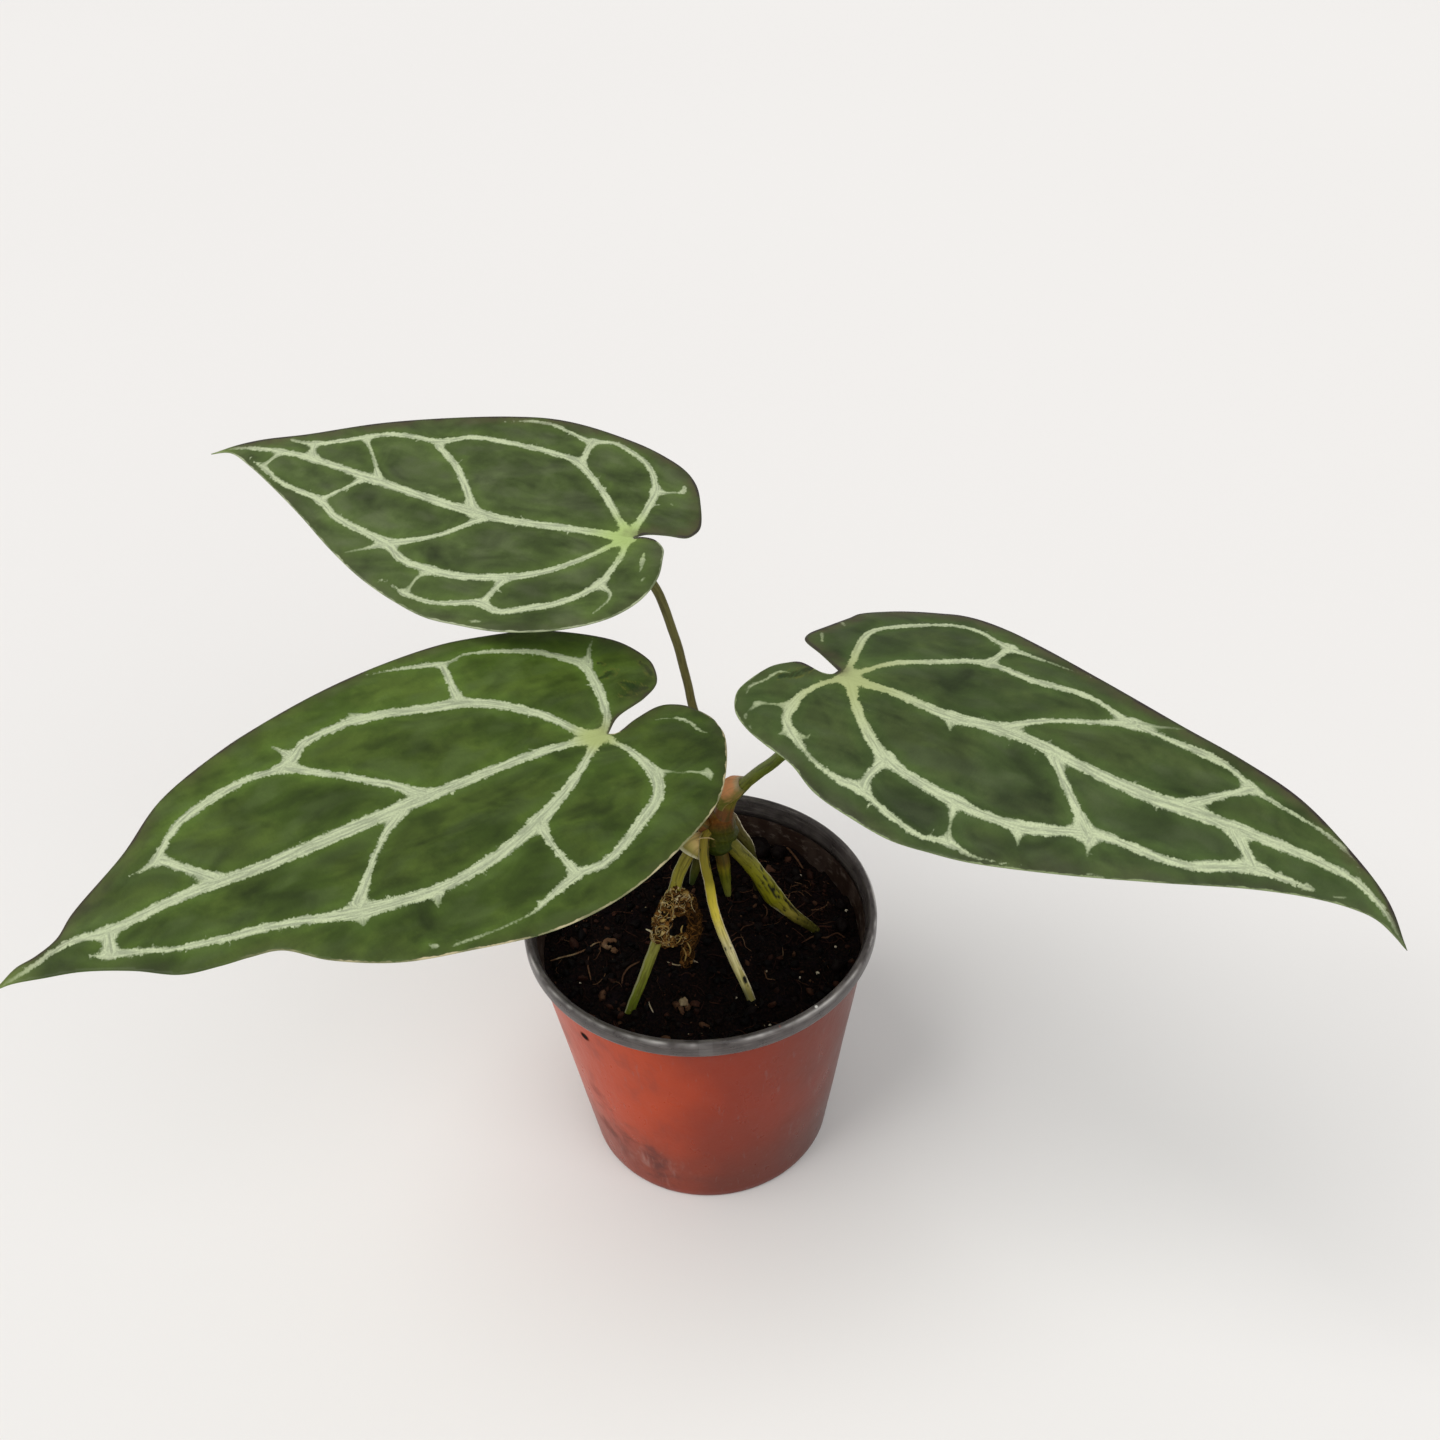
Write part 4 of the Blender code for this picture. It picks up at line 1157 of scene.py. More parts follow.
@dataclass
class Stalk:
    """A petiole, a root or a root tip: a round skin along a path, slightly uneven."""

    name: str
    path: tuple[Spot, ...]
    radii: tuple[float, ...]
    finish: StalkFinish
    slot: Slot
    nodes: tuple[str, ...]
    seed: int
    uneven: float
    wander: float
    cracks: tuple[Crack, ...] = ()
    ridges: tuple[Crack, ...] = ()
    swell_end: float = 0.0       # a petiole thickens by this much just under its blade
    sides: int = 28
    step: float = 0.5

    def skin(self) -> Skin:
        """The stalk's skin, with its unevenness and cracks.

        Returns:
            The skin.
        """
        path = spline(self.path, self.step)
        along = arc_length(path)
        calm = np.clip(np.minimum(along, along[-1] - along) / 6.0, 0, 1)
        drift = np.stack([ripple(np.column_stack([along, along * 0, along * 0 + k]), 7.0, self.seed)
                          for k in (1, 5, 9)], axis=1)
        path = path + drift * (self.wander * calm)[:, None]
        radii = spread(self.radii, len(path))
        radii = radii + self.swell_end * np.exp(-((along[-1] - along) / 4.5) ** 2)
        skin = tube(path, round_off(radii, path, False), self.sides)
        grow = 1 + self.uneven * (ripple(skin.points, 3.4, self.seed)
                                  + 0.5 * ripple(skin.points, 1.3, self.seed + 1))
        angles = self.turned(path, skin.points)
        places, size = np.repeat(along, self.sides), np.repeat(radii, self.sides)
        tone, ridge = np.zeros(len(places)), np.zeros(len(places))
        for line in self.cracks + self.ridges:
            weave = 4.0 * np.sin(places * 1.7 + line.angle)
            turn = (angles - line.angle - weave + 180) % 360 - 180
            middle, half = (line.start + line.end) / 2, (line.end - line.start) / 2
            ends = np.clip(1 - ((places - middle) / half) ** 2, 0, 1)
            width = line.width * np.sqrt(ends) + 0.01
            depth = np.clip(1 - np.abs(np.radians(turn)) * size / width, 0, 1)
            if line in self.cracks:
                tone = np.maximum(tone, np.clip(depth * 2.2, 0, 1))
                grow = grow - 0.16 * depth
            else:
                ridge = np.maximum(ridge, depth)
                grow = grow + 0.05 * depth
        skin.swell(path, grow)
        skin.values.update(tone=tone, ridge=ridge)
        return skin

    def turned(self, path: np.ndarray, points: np.ndarray) -> np.ndarray:
        """How far round the stalk each vertex lies from its front, in degrees.

        Args:
            path: The centre line.
            points: The vertices.

        Returns:
            The angles, positive to the right as seen from the front.
        """
        tangents, _, _ = sides_of(path)
        front = FRONT - tangents * (tangents @ FRONT)[:, None]
        front /= np.linalg.norm(front, axis=1)[:, None]
        right = np.cross(front, tangents)
        right *= np.sign(right[:, :1] + 1e-9)
        centres, front, right = (np.repeat(k, self.sides, axis=0) for k in (path, front, right))
        out = points - centres
        return np.degrees(np.arctan2((out * right).sum(axis=1), (out * front).sum(axis=1)))

    def build(self) -> None:
        """Makes the piece in place of its node."""
        self.skin().piece(self.name, self.finish.material(self.name), self.slot, self.nodes)


def petiole(blade: Blade, points: tuple[Spot, ...], radii: tuple[float, ...], finish: StalkFinish,
            seed: int) -> Stalk:
    """The petiole of a blade, from inside the stem to the blade's underside.

    Args:
        blade: The blade.
        points: The points that it passes.
        radii: Its radii at even stations.
        finish: Its finish.
        seed: Its own unevenness.

    Returns:
        The petiole.
    """
    seat = np.array((1.6, 0.0))      # the middle of its end, in leaf millimetres
    normal = blade.surface.normal(*seat)
    end = blade.surface.point(*seat) - normal * 0.75
    return Stalk("petiole_skin_" + blade.name, (*points, tuple(end - normal * 2.6), tuple(end)),
                 radii, finish, Slot.PETIOLE, ("petiole_" + blade.name,), seed, 0.035, 0.25,
                 swell_end=0.45)


@dataclass(frozen=True)
class StemFinish:
    """Colours of the stem, by height from its foot to its top."""

    stops: Stops = (
        (0.0, (0.014, 0.022, 0.004)), (0.40, (0.034, 0.046, 0.004)), (0.66, (0.050, 0.050, 0.004)),
        (0.76, (0.080, 0.040, 0.006)), (0.86, (0.140, 0.048, 0.008)), (1.0, (0.15, 0.105, 0.018)))
    low: float = 94.0
    high: float = 109.0
    husk: Colour = (0.15, 0.095, 0.035)

    def material(self, name: str) -> bpy.types.Material:
        """The stem's material, with husky patches.

        Args:
            name: The material's name.

        Returns:
            The material.
        """
        g = Graph(name)
        place = g.place()
        height = (g.part(place, "Z") - self.low) / (self.high - self.low)
        patch = g.noise(place, 2.4, 3.0, 0.6)
        grain = g.noise(place, 0.6, 3.0, 0.65)
        streak = g.noise(place * (1.5, 1.5, 0.28), 1.0, 3.0, 0.6)
        colour = g.ramp(height + (patch - 0.5) * 0.22, self.stops)
        colour = g.mix(g.step(patch, 0.60, 0.72) * 0.35, colour, self.husk)
        return g.dressed(Base_Color=colour * (0.30 + streak * 1.4) * (0.6 + grain * 0.8),
                         Roughness=0.52 + (grain - 0.5) * 0.25, Specular_IOR_Level=0.08,
                         Normal=g.bump(grain * 0.6 + patch * 0.4, 0.25, 0.8))


@dataclass
class Stem:
    """The short knuckled stem above the soil."""

    path: tuple[Spot, ...] = (
        (5.0, 2.2, 94.6), (5.4, 2.4, 98.5), (6.0, 2.8, 102.8), (6.5, 3.1, 106.6), (6.8, 3.3, 109.0))
    radii: tuple[float, ...] = (2.0, 4.3, 4.55, 3.5, 1.7)
    rings: tuple[float, ...] = (4.0, 7.2, 9.6)
    ring_height: float = 0.35
    ring_width: float = 0.55
    finish: StemFinish = StemFinish()

    def build(self) -> None:
        """Makes the stem in place of its node."""
        path = spline(self.path, 0.3)
        radii = round_off(spread(self.radii, len(path)), path, True)
        for ring in self.rings:
            away = (arc_length(path) - ring) / self.ring_width
            radii = radii + self.ring_height * np.exp(-away ** 2)
        skin = tube(path, radii, 44)
        swell = 0.09 * ripple(skin.points, 4.0, 3) + 0.05 * ripple(skin.points, 1.4, 4)
        skin.swell(path, 1 + swell)
        skin.piece("crown", self.finish.material("crown"), Slot.STEM, ["stem"])


# Papery scales

@dataclass(frozen=True)
class ScaleFinish:
    """Colours of a papery scale from its foot to its dry tip."""

    stops: Stops
    vein: Colour
    front: Colour = (0.11, 0.12, 0.018)
    front_share: float = 0.0

    def material(self, name: str) -> bpy.types.Material:
        """The scale's material, with fine nerves along it.

        Args:
            name: The material's name.

        Returns:
            The material.
        """
        g = Graph(name)
        skin = g.vector("unrolled")
        patch = g.noise(skin, 1.8, 3.0, 0.6)
        nerve = g.noise(skin * (3.0, 3.0, 0.18), 1.0, 1.5)
        colour = g.ramp(g.value("along") + (patch - 0.5) * 0.16, self.stops)
        front = g.part(skin, "X") + (patch - 0.5) * 1.6
        colour = g.mix(g.step(front, 0.9, 2.4) * self.front_share, colour, self.front)
        colour = g.mix(g.step(nerve, 0.50, 0.66) * 0.45, colour, self.vein)
        return g.dressed(Base_Color=colour, Roughness=0.58 + (patch - 0.5) * 0.2,
                         Specular_IOR_Level=0.18,
                         Normal=g.bump(nerve * 0.7 + patch * 0.3, 0.2, 0.8))


@dataclass
class Scale:
    """A papery scale that wraps a limb, open at its back, with an uneven tip."""

    name: str
    limb: Stalk
    start: float                 # where it starts and ends along the limb
    end: float
    clear: tuple[float, ...]     # how far it stands off the limb, from its foot to its tip
    facing: Spot
    half_angles: tuple[float, ...]
    finish: ScaleFinish
    nodes: tuple[str, ...]
    seed: int
    hug: float = 0.0             # how far its side edges close in on the limb
    thickness: float = 0.35
    ragged: float = 0.4
    rows: int = 44
    columns: int = 33

    def shells(self) -> tuple[np.ndarray, np.ndarray]:
        """The scale's points on both faces.

        Returns:
            The outer and the inner points, row by row.
        """
        limb = spline(self.limb.path, self.limb.step)
        places = np.linspace(self.start, self.end, self.rows)
        path = at_length(limb, places)
        tangents, _, _ = sides_of(path)
        out = np.array(self.facing) - tangents * (tangents @ self.facing)[:, None]
        out /= np.linalg.norm(out, axis=1)[:, None]
        across = np.linspace(-1, 1, self.columns)
        angle = (np.radians(spread(self.half_angles, self.rows))[:, None] * across)[..., None]
        ring = np.cos(angle) * out[:, None] + np.sin(angle) * np.cross(tangents, out)[:, None]
        size = np.interp(places, arc_length(limb), spread(self.limb.radii, len(limb)))[:, None]
        size = size + spread(self.clear, self.rows)[:, None] * (1 - self.hug * abs(across) ** 3)
        inner = (path[:, None] + size[..., None] * ring).reshape(-1, 3)
        ring = ring.reshape(-1, 3)
        outer = inner + self.thickness * ring

        share = np.repeat(np.linspace(0, 1, self.rows), self.columns)
        across = np.tile(across, self.rows)
        edge = ripple(np.column_stack([across * 3, share * 0, share * 0]), 0.8, self.seed)
        drop = self.ragged * (0.35 * across ** 2 + 0.5 * edge)
        fall = np.repeat(tangents, self.columns, axis=0) * (-drop * share ** 3)[:, None]
        wave = 0.16 * ripple(outer, 1.9, self.seed) + 0.08 * ripple(outer, 0.8, self.seed)
        shift = fall + ring * wave[:, None]
        return outer + shift, inner + shift

    def build(self) -> None:
        """Makes the scale in place of its node."""
        count = self.rows * self.columns
        grid = np.arange(count).reshape(self.rows, self.columns)
        low, high = np.s_[:-1], np.s_[1:]
        a, b, c, d = (grid[k].ravel() for k in ((low, low), (low, high), (high, high), (high, low)))
        edge = np.concatenate([grid[0], grid[1:, -1], grid[-1, -2::-1], grid[-2:0:-1, 0]])
        after = np.roll(edge, -1)
        quads = np.vstack([np.stack([a, d, c, b], axis=1), np.stack([a, b, c, d], axis=1) + count,
                           np.stack([edge, after, after + count, edge + count], axis=1)])
        share = np.repeat(np.linspace(0, 1, self.rows), self.columns)
        across = np.tile(np.linspace(-3.0, 3.0, self.columns), self.rows)
        unrolled = np.column_stack([across, across * 0, share * (self.end - self.start)])
        values = {"along": np.tile(share, 2), "unrolled": np.tile(unrolled, (2, 1))}
        Skin(np.vstack(self.shells()), [tuple(quad) for quad in quads.tolist()], values).piece(
            self.name, self.finish.material(self.name), Slot.SHEATH, self.nodes)


# Loose matter: the fibre mat and the peat

@dataclass(frozen=True)
class LitterFinish:
    """Colours of crumbs and strands, from the tone 0 to the tone 1."""

    stops: Stops
    roughness: float
    grain: float
    gloss: float

    def material(self, name: str) -> bpy.types.Material:
        """The material of loose matter.

        Args:
            name: The material's name.

        Returns:
            The material.
        """
        g = Graph(name)
        grain = g.noise(g.place(), self.grain, 3.0, 0.65)
        tone = g.value("tone") + (g.noise(g.place(), 2.5) - 0.5) * 0.25
        return g.dressed(Base_Color=g.ramp(tone, self.stops) * (0.55 + grain * 0.9),
                         Roughness=self.roughness + (grain - 0.5) * 0.2,
                         Specular_IOR_Level=self.gloss, Normal=g.bump(grain, 0.2, 0.8))


@dataclass
class FibreMat:
    """The tangle of old brown fibre round the left root: a lumpy core with strands laid over it."""

    limbs: tuple[tuple[tuple[Spot, ...], tuple[float, ...]], ...] = (
        (((-5.5, -6.6, 91.5), (-7.2, -8.4, 88.5), (-8.7, -10.0, 85.5), (-9.8, -12.0, 82.4),
          (-10.8, -13.6, 79.3)), (1.5, 1.9, 2.0, 2.1, 1.6)),
        (((-4.4, -5.4, 89.0), (-3.4, -4.8, 86.0), (-1.8, -5.0, 81.5), (-1.3, -5.6, 78.0),
          (-2.2, -6.6, 74.0), (-3.4, -7.4, 70.0), (-4.2, -7.4, 62)),
         (1.2, 1.6, 1.6, 1.5, 1.3, 1.2, 1.1)),
        (((-5.8, -6.4, 88.6), (-4.8, -6.3, 85.4), (-4.6, -7.0, 82.6)), (1.3, 1.9, 1.1)),
        (((-9.4, -12.8, 79.6), (-7.2, -11.6, 77.4), (-4.6, -9.4, 76.0), (-2.6, -7.4, 75.0)),
         (0.9, 1.1, 1.0, 1.1)))
    loops: tuple[tuple[Spot, float, float, float], ...] = (
        ((-9.2, -12.6, 83.4), 1.5, -0.4, 0.70), ((-7.4, -10.2, 87.8), 1.0, 0.5, 0.74))
    threads: tuple[tuple[tuple[Spot, ...], float, float], ...] = (
        (((-13.4, -12.6, 83.6), (-12.3, -12.4, 82.6), (-10.8, -12.8, 81.2)), 0.26, 0.97),
        (((0.2, -1.4, 102.6), (1.4, -2.6, 104.3), (3.2, -2.6, 104.3), (4.6, -1.8, 102.9)),
         0.15, 0.84),
        (((-3.8, -9.4, 75.6), (-3.0, -9.6, 73.6), (-2.8, -9.4, 71.6), (-3.6, -9.2, 69.4)),
         0.20, 0.72),
        (((-4.6, -9.4, 73.0), (-4.0, -9.9, 71.0), (-4.4, -10.0, 68.6)), 0.20, 0.70),
        (((-8.8, -12.4, 78.0), (-7.4, -12.2, 76.8), (-5.4, -10.8, 76.4), (-3.6, -9.6, 77.4)),
         0.24, 0.66),
        (((-4.4, -7.4, 79.0), (-4.9, -7.6, 77.6), (-4.6, -7.9, 76.2)), 0.24, 0.78))
    strands: int = 820
    flakes: int = 520
    strand_floor: float = 67.0   # strands and flakes start above the soil
    flake_floor: float = 66.0
    step: float = 0.4
    sides: int = 30
    core: LitterFinish = LitterFinish(
        ((0.0, (0.005, 0.003, 0.0015)), (0.5, (0.018, 0.009, 0.003)), (1.0, (0.100, 0.046, 0.013))),
        0.85, 0.6, 0.06)
    thread: LitterFinish = LitterFinish(
        ((0.0, (0.008, 0.004, 0.002)), (0.3, (0.055, 0.023, 0.006)), (0.55, (0.22, 0.096, 0.022)),
         (0.78, (0.50, 0.34, 0.11)), (1.0, (0.62, 0.54, 0.36))), 0.75, 0.5, 0.06)

    @staticmethod
    def tone(spot: np.ndarray, chance: float, most: float) -> float:
        """How light a strand or flake is, by its place.

        Args:
            spot: Its place.
            chance: How much of the tone's range at that place it takes.
            most: The lightest tone.

        Returns:
            The tone.
        """
        low = (0.44, 0.12) if spot[2] < 76.5 else (0.42, 0.15)
        high = (0.66, 0.33) if spot[2] > 86.0 else low
        reach, least = (0.62, 0.35) if spot[0] < -6.2 else high
        return min(chance * reach + least, most)

    def core_skin(self) -> Skin:
        """The lumpy core under the strands.

        Returns:
            Its skin.
        """
        cores = []
        for seed, (path, radii) in enumerate(self.limbs):
            line = spline(path, self.step)
            skin = tube(line, round_off(spread(radii, len(line)), line, True), self.sides)
            swell = (0.42 * ripple(skin.points, 2.0, 5 + seed)
                     + 0.28 * ripple(skin.points, 0.8, 7 + seed))
            skin.swell(line, 0.88 + swell)
            tone = 0.4 + 0.6 * ripple(skin.points, 1.5, 9)
            cores.append(Skin(skin.points, skin.faces, {"tone": tone}))
        return Skin.joined(cores)

    def laid_strands(self, core: Skin, rng: random.Random) -> list[Skin]:
        """Strands that wander over the core.

        Args:
            core: The core.
            rng: The source of chance.

        Returns:
            Their skins.
        """
        tree = search_tree(core.points)
        middles = np.vstack([spline(path, self.step) for path, _ in self.limbs])
        skins = []
        for _ in range(self.strands):
            first = spot = core.points[rng.randrange(len(core.points))]
            if spot[2] < self.strand_floor:
                continue
            heading = np.array([rng.gauss(0, 1), rng.gauss(0, 1), rng.gauss(0, 1.2)])
            lift = rng.uniform(0.0, 0.22)
            line = []
            for _ in range(rng.randint(4, 8)):
                out = spot - middles[np.argmin(np.linalg.norm(middles - spot, axis=1))]
                out /= np.linalg.norm(out) + 1e-6
                heading = heading - out * heading.dot(out) * 0.9
                heading /= np.linalg.norm(heading) + 1e-6
                heading = heading + np.array([rng.gauss(0, 0.75) for _ in range(3)])
                spot = spot + out * lift
                if not line or np.linalg.norm(spot - line[-1]) > 0.3:
                    line.append(spot)
                spot = np.array(tree.find(spot + heading * 0.75)[0])
                lift = max(0.0, lift + rng.gauss(0, 0.12))
            if len(line) > 2:
                tone = self.tone(first, rng.random() ** 1.3, 0.92)
                skins.append(strand(line, rng.uniform(0.05, 0.14), tone, 5, 0.5))
        return skins

    def build(self) -> None:
        """Makes the core, in place of the node, and what lies over it."""
        core = self.core_skin()
        core.piece("fibre_core", self.core.material("fibre core"), Slot.FIBRE, ["fibre_mat"])
        rng = random.Random(11)
        over = self.laid_strands(core, rng)
        for k in range(self.flakes):
            spot = core.points[rng.randrange(len(core.points))]
            if spot[2] > self.flake_floor:
                size = min(0.25 + rng.expovariate(3.4), 1.1)
                tone = self.tone(spot, rng.random() ** 1.6, 0.9)
                over.append(lump(spot, (size, size * 0.55, size * 0.8), k, 0.75, 2, tone))
        turn = math.tau * np.arange(14) / 12.0
        for middle, radius, lean, tone in self.loops:
            depth = radius * lean * np.sin(turn) - 0.3 * turn / math.tau
            ring = np.column_stack([radius * np.cos(turn), depth, radius * 1.2 * np.sin(turn)])
            over.append(strand(ring + middle, 0.20, tone, 7, 0.35))
        over += [strand(line, radius, tone, 7, 0.4) for line, radius, tone in self.threads]
        Skin.joined(over).piece("fibre_strands", self.thread.material("fibre strands"), Slot.FIBRE)


@dataclass(frozen=True)
class PeatFinish:
    """The dark damp peat."""

    black: Colour = (0.0020, 0.0011, 0.0011)
    brown: Colour = (0.017, 0.0068, 0.0048)
    violet: Colour = (0.006, 0.0030, 0.0050)

    def material(self, name: str) -> bpy.types.Material:
        """The peat's material.

        Args:
            name: The material's name.

        Returns:
            The material.
        """
        g = Graph(name)
        grain = g.noise(g.place(), 0.7, 4.0, 0.7)
        patch = g.noise(g.place(), 5.0, 3.0, 0.6)
        colour = g.mix(g.step(grain, 0.42, 0.72), self.black, self.brown)
        return g.dressed(Base_Color=g.mix(g.step(patch, 0.50, 0.68) * 0.6, colour, self.violet),
                         Roughness=0.86 - g.step(grain, 0.60, 0.75) * 0.35,
                         Specular_IOR_Level=0.07, Normal=g.bump(grain, 0.35, 0.9))


@dataclass
class Soil:
    """The peat: a crumbly surface on a plain body, with crumbs, fibres and a few finds on it."""

    level: float = 64.5
    relief: float = 0.9
    spacing: float = 0.62
    floor: float = 3.35
    reach: float = 40.0          # how far out its litter is strewn
    limit: float = 40.4          # all litter ends here, just short of the wall
    crumbs: int = 1700
    fibres: int = 300
    matted: int = 150            # reddish fibres that lie matted at the right back
    mat_centre: tuple[float, float] = (25.0, 17.0)
    clods: tuple[Spot, ...] = (  # place and size of the clods by the wall
        (12.6, 38.0, 2.4), (18.0, 35.6, 2.6), (22.6, 32.4, 2.0), (8.0, 38.6, 1.8), (37.0, 2.0, 1.8),
        (34.6, -12.0, 1.6), (38.0, 9.5, 1.5), (-36.0, 10.0, 2.0))
    finds: tuple[tuple[tuple[tuple[float, float], ...], float, float], ...] = (
        (((-26.2, 0.4), (-27.8, 0.3), (-30.0, -1.5), (-33.2, -2.8), (-37.0, -3.6), (-39.6, -4.8)),
         0.24, 0.80),
        (((-20.7, -13.5), (-20.4, -11.0), (-19.0, -8.5), (-16.2, -6.6)), 0.26, 0.72),
        (((-29.5, -4.0), (-29.6, -7.0), (-28.7, -11.4)), 0.22, 0.72),
        (((-9.2, -5.9), (-7.6, -7.2), (-5.8, -7.6), (-4.4, -6.6), (-3.2, -6.4)), 0.18, 0.90),
        (((-4.0, -8.0), (-2.4, -7.0), (-1.1, -7.6)), 0.17, 0.92),
        (((21.5, 33.0), (23.4, 34.2), (26.0, 30.5), (28.3, 25.6)), 0.32, 0.72),
        (((14.2, 36.2), (17.5, 34.0), (19.5, 34.6), (20.4, 31.0)), 0.30, 0.62),
        (((26.0, -1.5), (29.4, -0.4), (32.5, -1.2), (35.6, 0.6), (37.6, -1.0)), 0.26, 0.66),
        (((27.0, 1.6), (31.0, 2.8), (35.0, 2.4), (38.4, 4.4)), 0.22, 0.60),
        (((-14.0, -20.0), (-13.5, -21.7), (-12.6, -24.0)), 0.20, 0.95))
    pebbles: tuple[tuple[float, float, float, Spot, float], ...] = (
        (-5.1, -20.6, 0.8, (1.7, 1.1, 0.9), 0.85), (-3.9, -21.3, 0.5, (1.3, 1.0, 0.7), 0.76),
        (-7.0, -21.0, 0.4, (1.4, 1.0, 0.7), 0.66), (-2.0, -20.8, 0.5, (1.2, 0.9, 0.7), 0.62),
        (-5.6, -22.6, 0.3, (1.5, 0.9, 0.6), 0.68))
    bright: tuple[Spot, ...] = (
        (29.6, -11.7, 0.55), (38.6, 7.9, 0.5), (8.4, -19.2, 0.4), (27.4, 24.0, 0.5),
        (-8.0, -6.6, 0.45), (-2.2, -6.9, 0.4), (24.8, -14.0, 0.35), (-31.5, -12.0, 0.35),
        (16.4, -28.2, 0.35), (34.8, -3.5, 0.4))
    finish: PeatFinish = PeatFinish()
    litter: LitterFinish = LitterFinish(
        ((0.0, (0.002, 0.0012, 0.0012)), (0.35, (0.006, 0.0028, 0.0024)),
         (0.6, (0.040, 0.0140, 0.0085)), (0.8, (0.13, 0.066, 0.034)), (0.9, (0.32, 0.24, 0.14)),
         (1.0, (0.62, 0.54, 0.42))), 0.66, 0.6, 0.09)

    def edge(self, z: float) -> float:
        """The soil's radius at a height, just clear of the pot's wall."""
        return Pot.wall(z) - Pot.WALL - 0.12

    def height(self, flat: np.ndarray) -> np.ndarray:
        """Height of the soil's surface.

        Args:
            flat: Places as x and y.

        Returns:
            The height at each.
        """
        x, y = flat.T
        place = upright(flat)
        waves = np.sin(0.21 * x + 0.8) * np.cos(0.17 * y - 0.4) + 0.6 * np.sin(0.43 * x - 0.31 * y)
        clods = np.array([noise.voronoi(Vector(p) / 3.3)[0][0] for p in place])
        small = np.array([noise.voronoi(Vector(p) / 1.5 + Vector((9, 4, 2)))[0][0] for p in place])
        rise = (0.7 * ripple(place, 8.0, 2) + 0.5 * ripple(place, 2.6, 3)
                + 0.25 * ripple(place, 1.0, 4))
        wall = np.clip((np.hypot(x, y) - 34.0) / 8.0, 0, 1)
        bank = wall ** 2 * (1.2 + 1.6 * np.clip(ripple(place, 7.0, 6) + 0.2, 0, 1))
        return (self.level + self.relief * waves + rise + 1.5 * (0.45 - np.clip(clods, 0, 0.8))
                + 0.7 * (0.4 - np.clip(small, 0, 0.8)) + bank)

    def on_top(self, x: float, y: float, rise: float) -> np.ndarray:
        """A point over a place, that far above the surface."""
        return np.array([x, y, self.height(np.array([[x, y]]))[0] + rise])

    def laid(self, flat: Sequence[Sequence[float]], rise: float) -> np.ndarray:
        """Points of a strand that lies on the surface and spans its smaller hollows."""
        heights = self.height(np.array(flat))
        return np.column_stack([flat, (heights + heights.mean()) / 2 + rise])

    def scatter(self, rng: random.Random) -> tuple[float, float]:
        """A random place on the soil."""
        radius, angle = self.reach * math.sqrt(rng.uniform(0.0, 1.0)), rng.uniform(0, math.tau)
        return radius * math.cos(angle), radius * math.sin(angle)

    def body(self) -> Skin:
        """The peat's closed body.

        Returns:
            Its skin, which starts with the surface.
        """
        edge = self.edge(66.5)
        count = round(math.tau * edge / self.spacing)
        angles = np.linspace(0, math.tau, count, endpoint=False)
        ring = np.column_stack([np.cos(angles), np.sin(angles)])
        inner = []
        for k, y in enumerate(np.arange(-edge, edge, self.spacing * ROW)):
            line = np.arange(-edge, edge, self.spacing) + (k % 2) * self.spacing / 2
            inner += [(x, y) for x in line[np.hypot(line, y) < edge - 0.4 * self.spacing]]
        flat, faces = filled(ring * edge, np.array(inner), 0.01)
        rings, upper, lower = [np.column_stack([flat, self.height(flat)])], 0, len(flat)
        for z in (62.0, 50.0, 35.0, 20.0, 8.0, self.floor + 1.2, self.floor):
            radius = self.edge(max(z, self.floor + 1.6)) - (1.5 if z == self.floor else 0.0)
            rings.append(upright(ring * radius, z))
            faces += band(lower, upper, count)
            upper, lower = lower, lower + count
        return Skin(np.vstack(rings), faces + [tuple(reversed(range(upper, lower)))])

    def crumb_skins(self) -> list[Skin]:
        """Crumbs, bark chips and bits of the old mix, strewn over the surface.

        Returns:
            Their skins.
        """
        rng = random.Random(21)
        spots = [self.scatter(rng) for _ in range(self.crumbs)]
        parts = []
        for k, ((x, y), z) in enumerate(zip(spots, self.height(np.array(spots)))):
            size = min(0.28 + rng.expovariate(2.6), 1.7)
            flat = rng.uniform(0.35, 0.8)
            tone = rng.random() ** 3.4 * 0.70
            if math.dist((x, y), self.mat_centre) < 13.0:
                tone = min(tone + 0.22, 0.68)
            if size < 0.42 and rng.random() < 0.035:
                tone = rng.uniform(0.80, 0.95)
            inward = 0.95 if math.hypot(x, y) + size > 41.0 else 1.0
            parts.append(lump((x * inward, y * inward, z + size * 0.2),
                              (size, size * 0.7, size * flat), k, 0.6,
                              2 if size > 0.6 else 1, tone))
        for x, y, size in self.clods:
            inward = min(1.0, (self.limit - size * 1.3) / math.hypot(x, y))
            parts.append(lump((x * inward, y * inward, 66.4 + size * 0.3),
                              (size * 1.1, size, size * 0.8), int(x * 7 + 400), 0.5, 3, 0.26))
        return parts

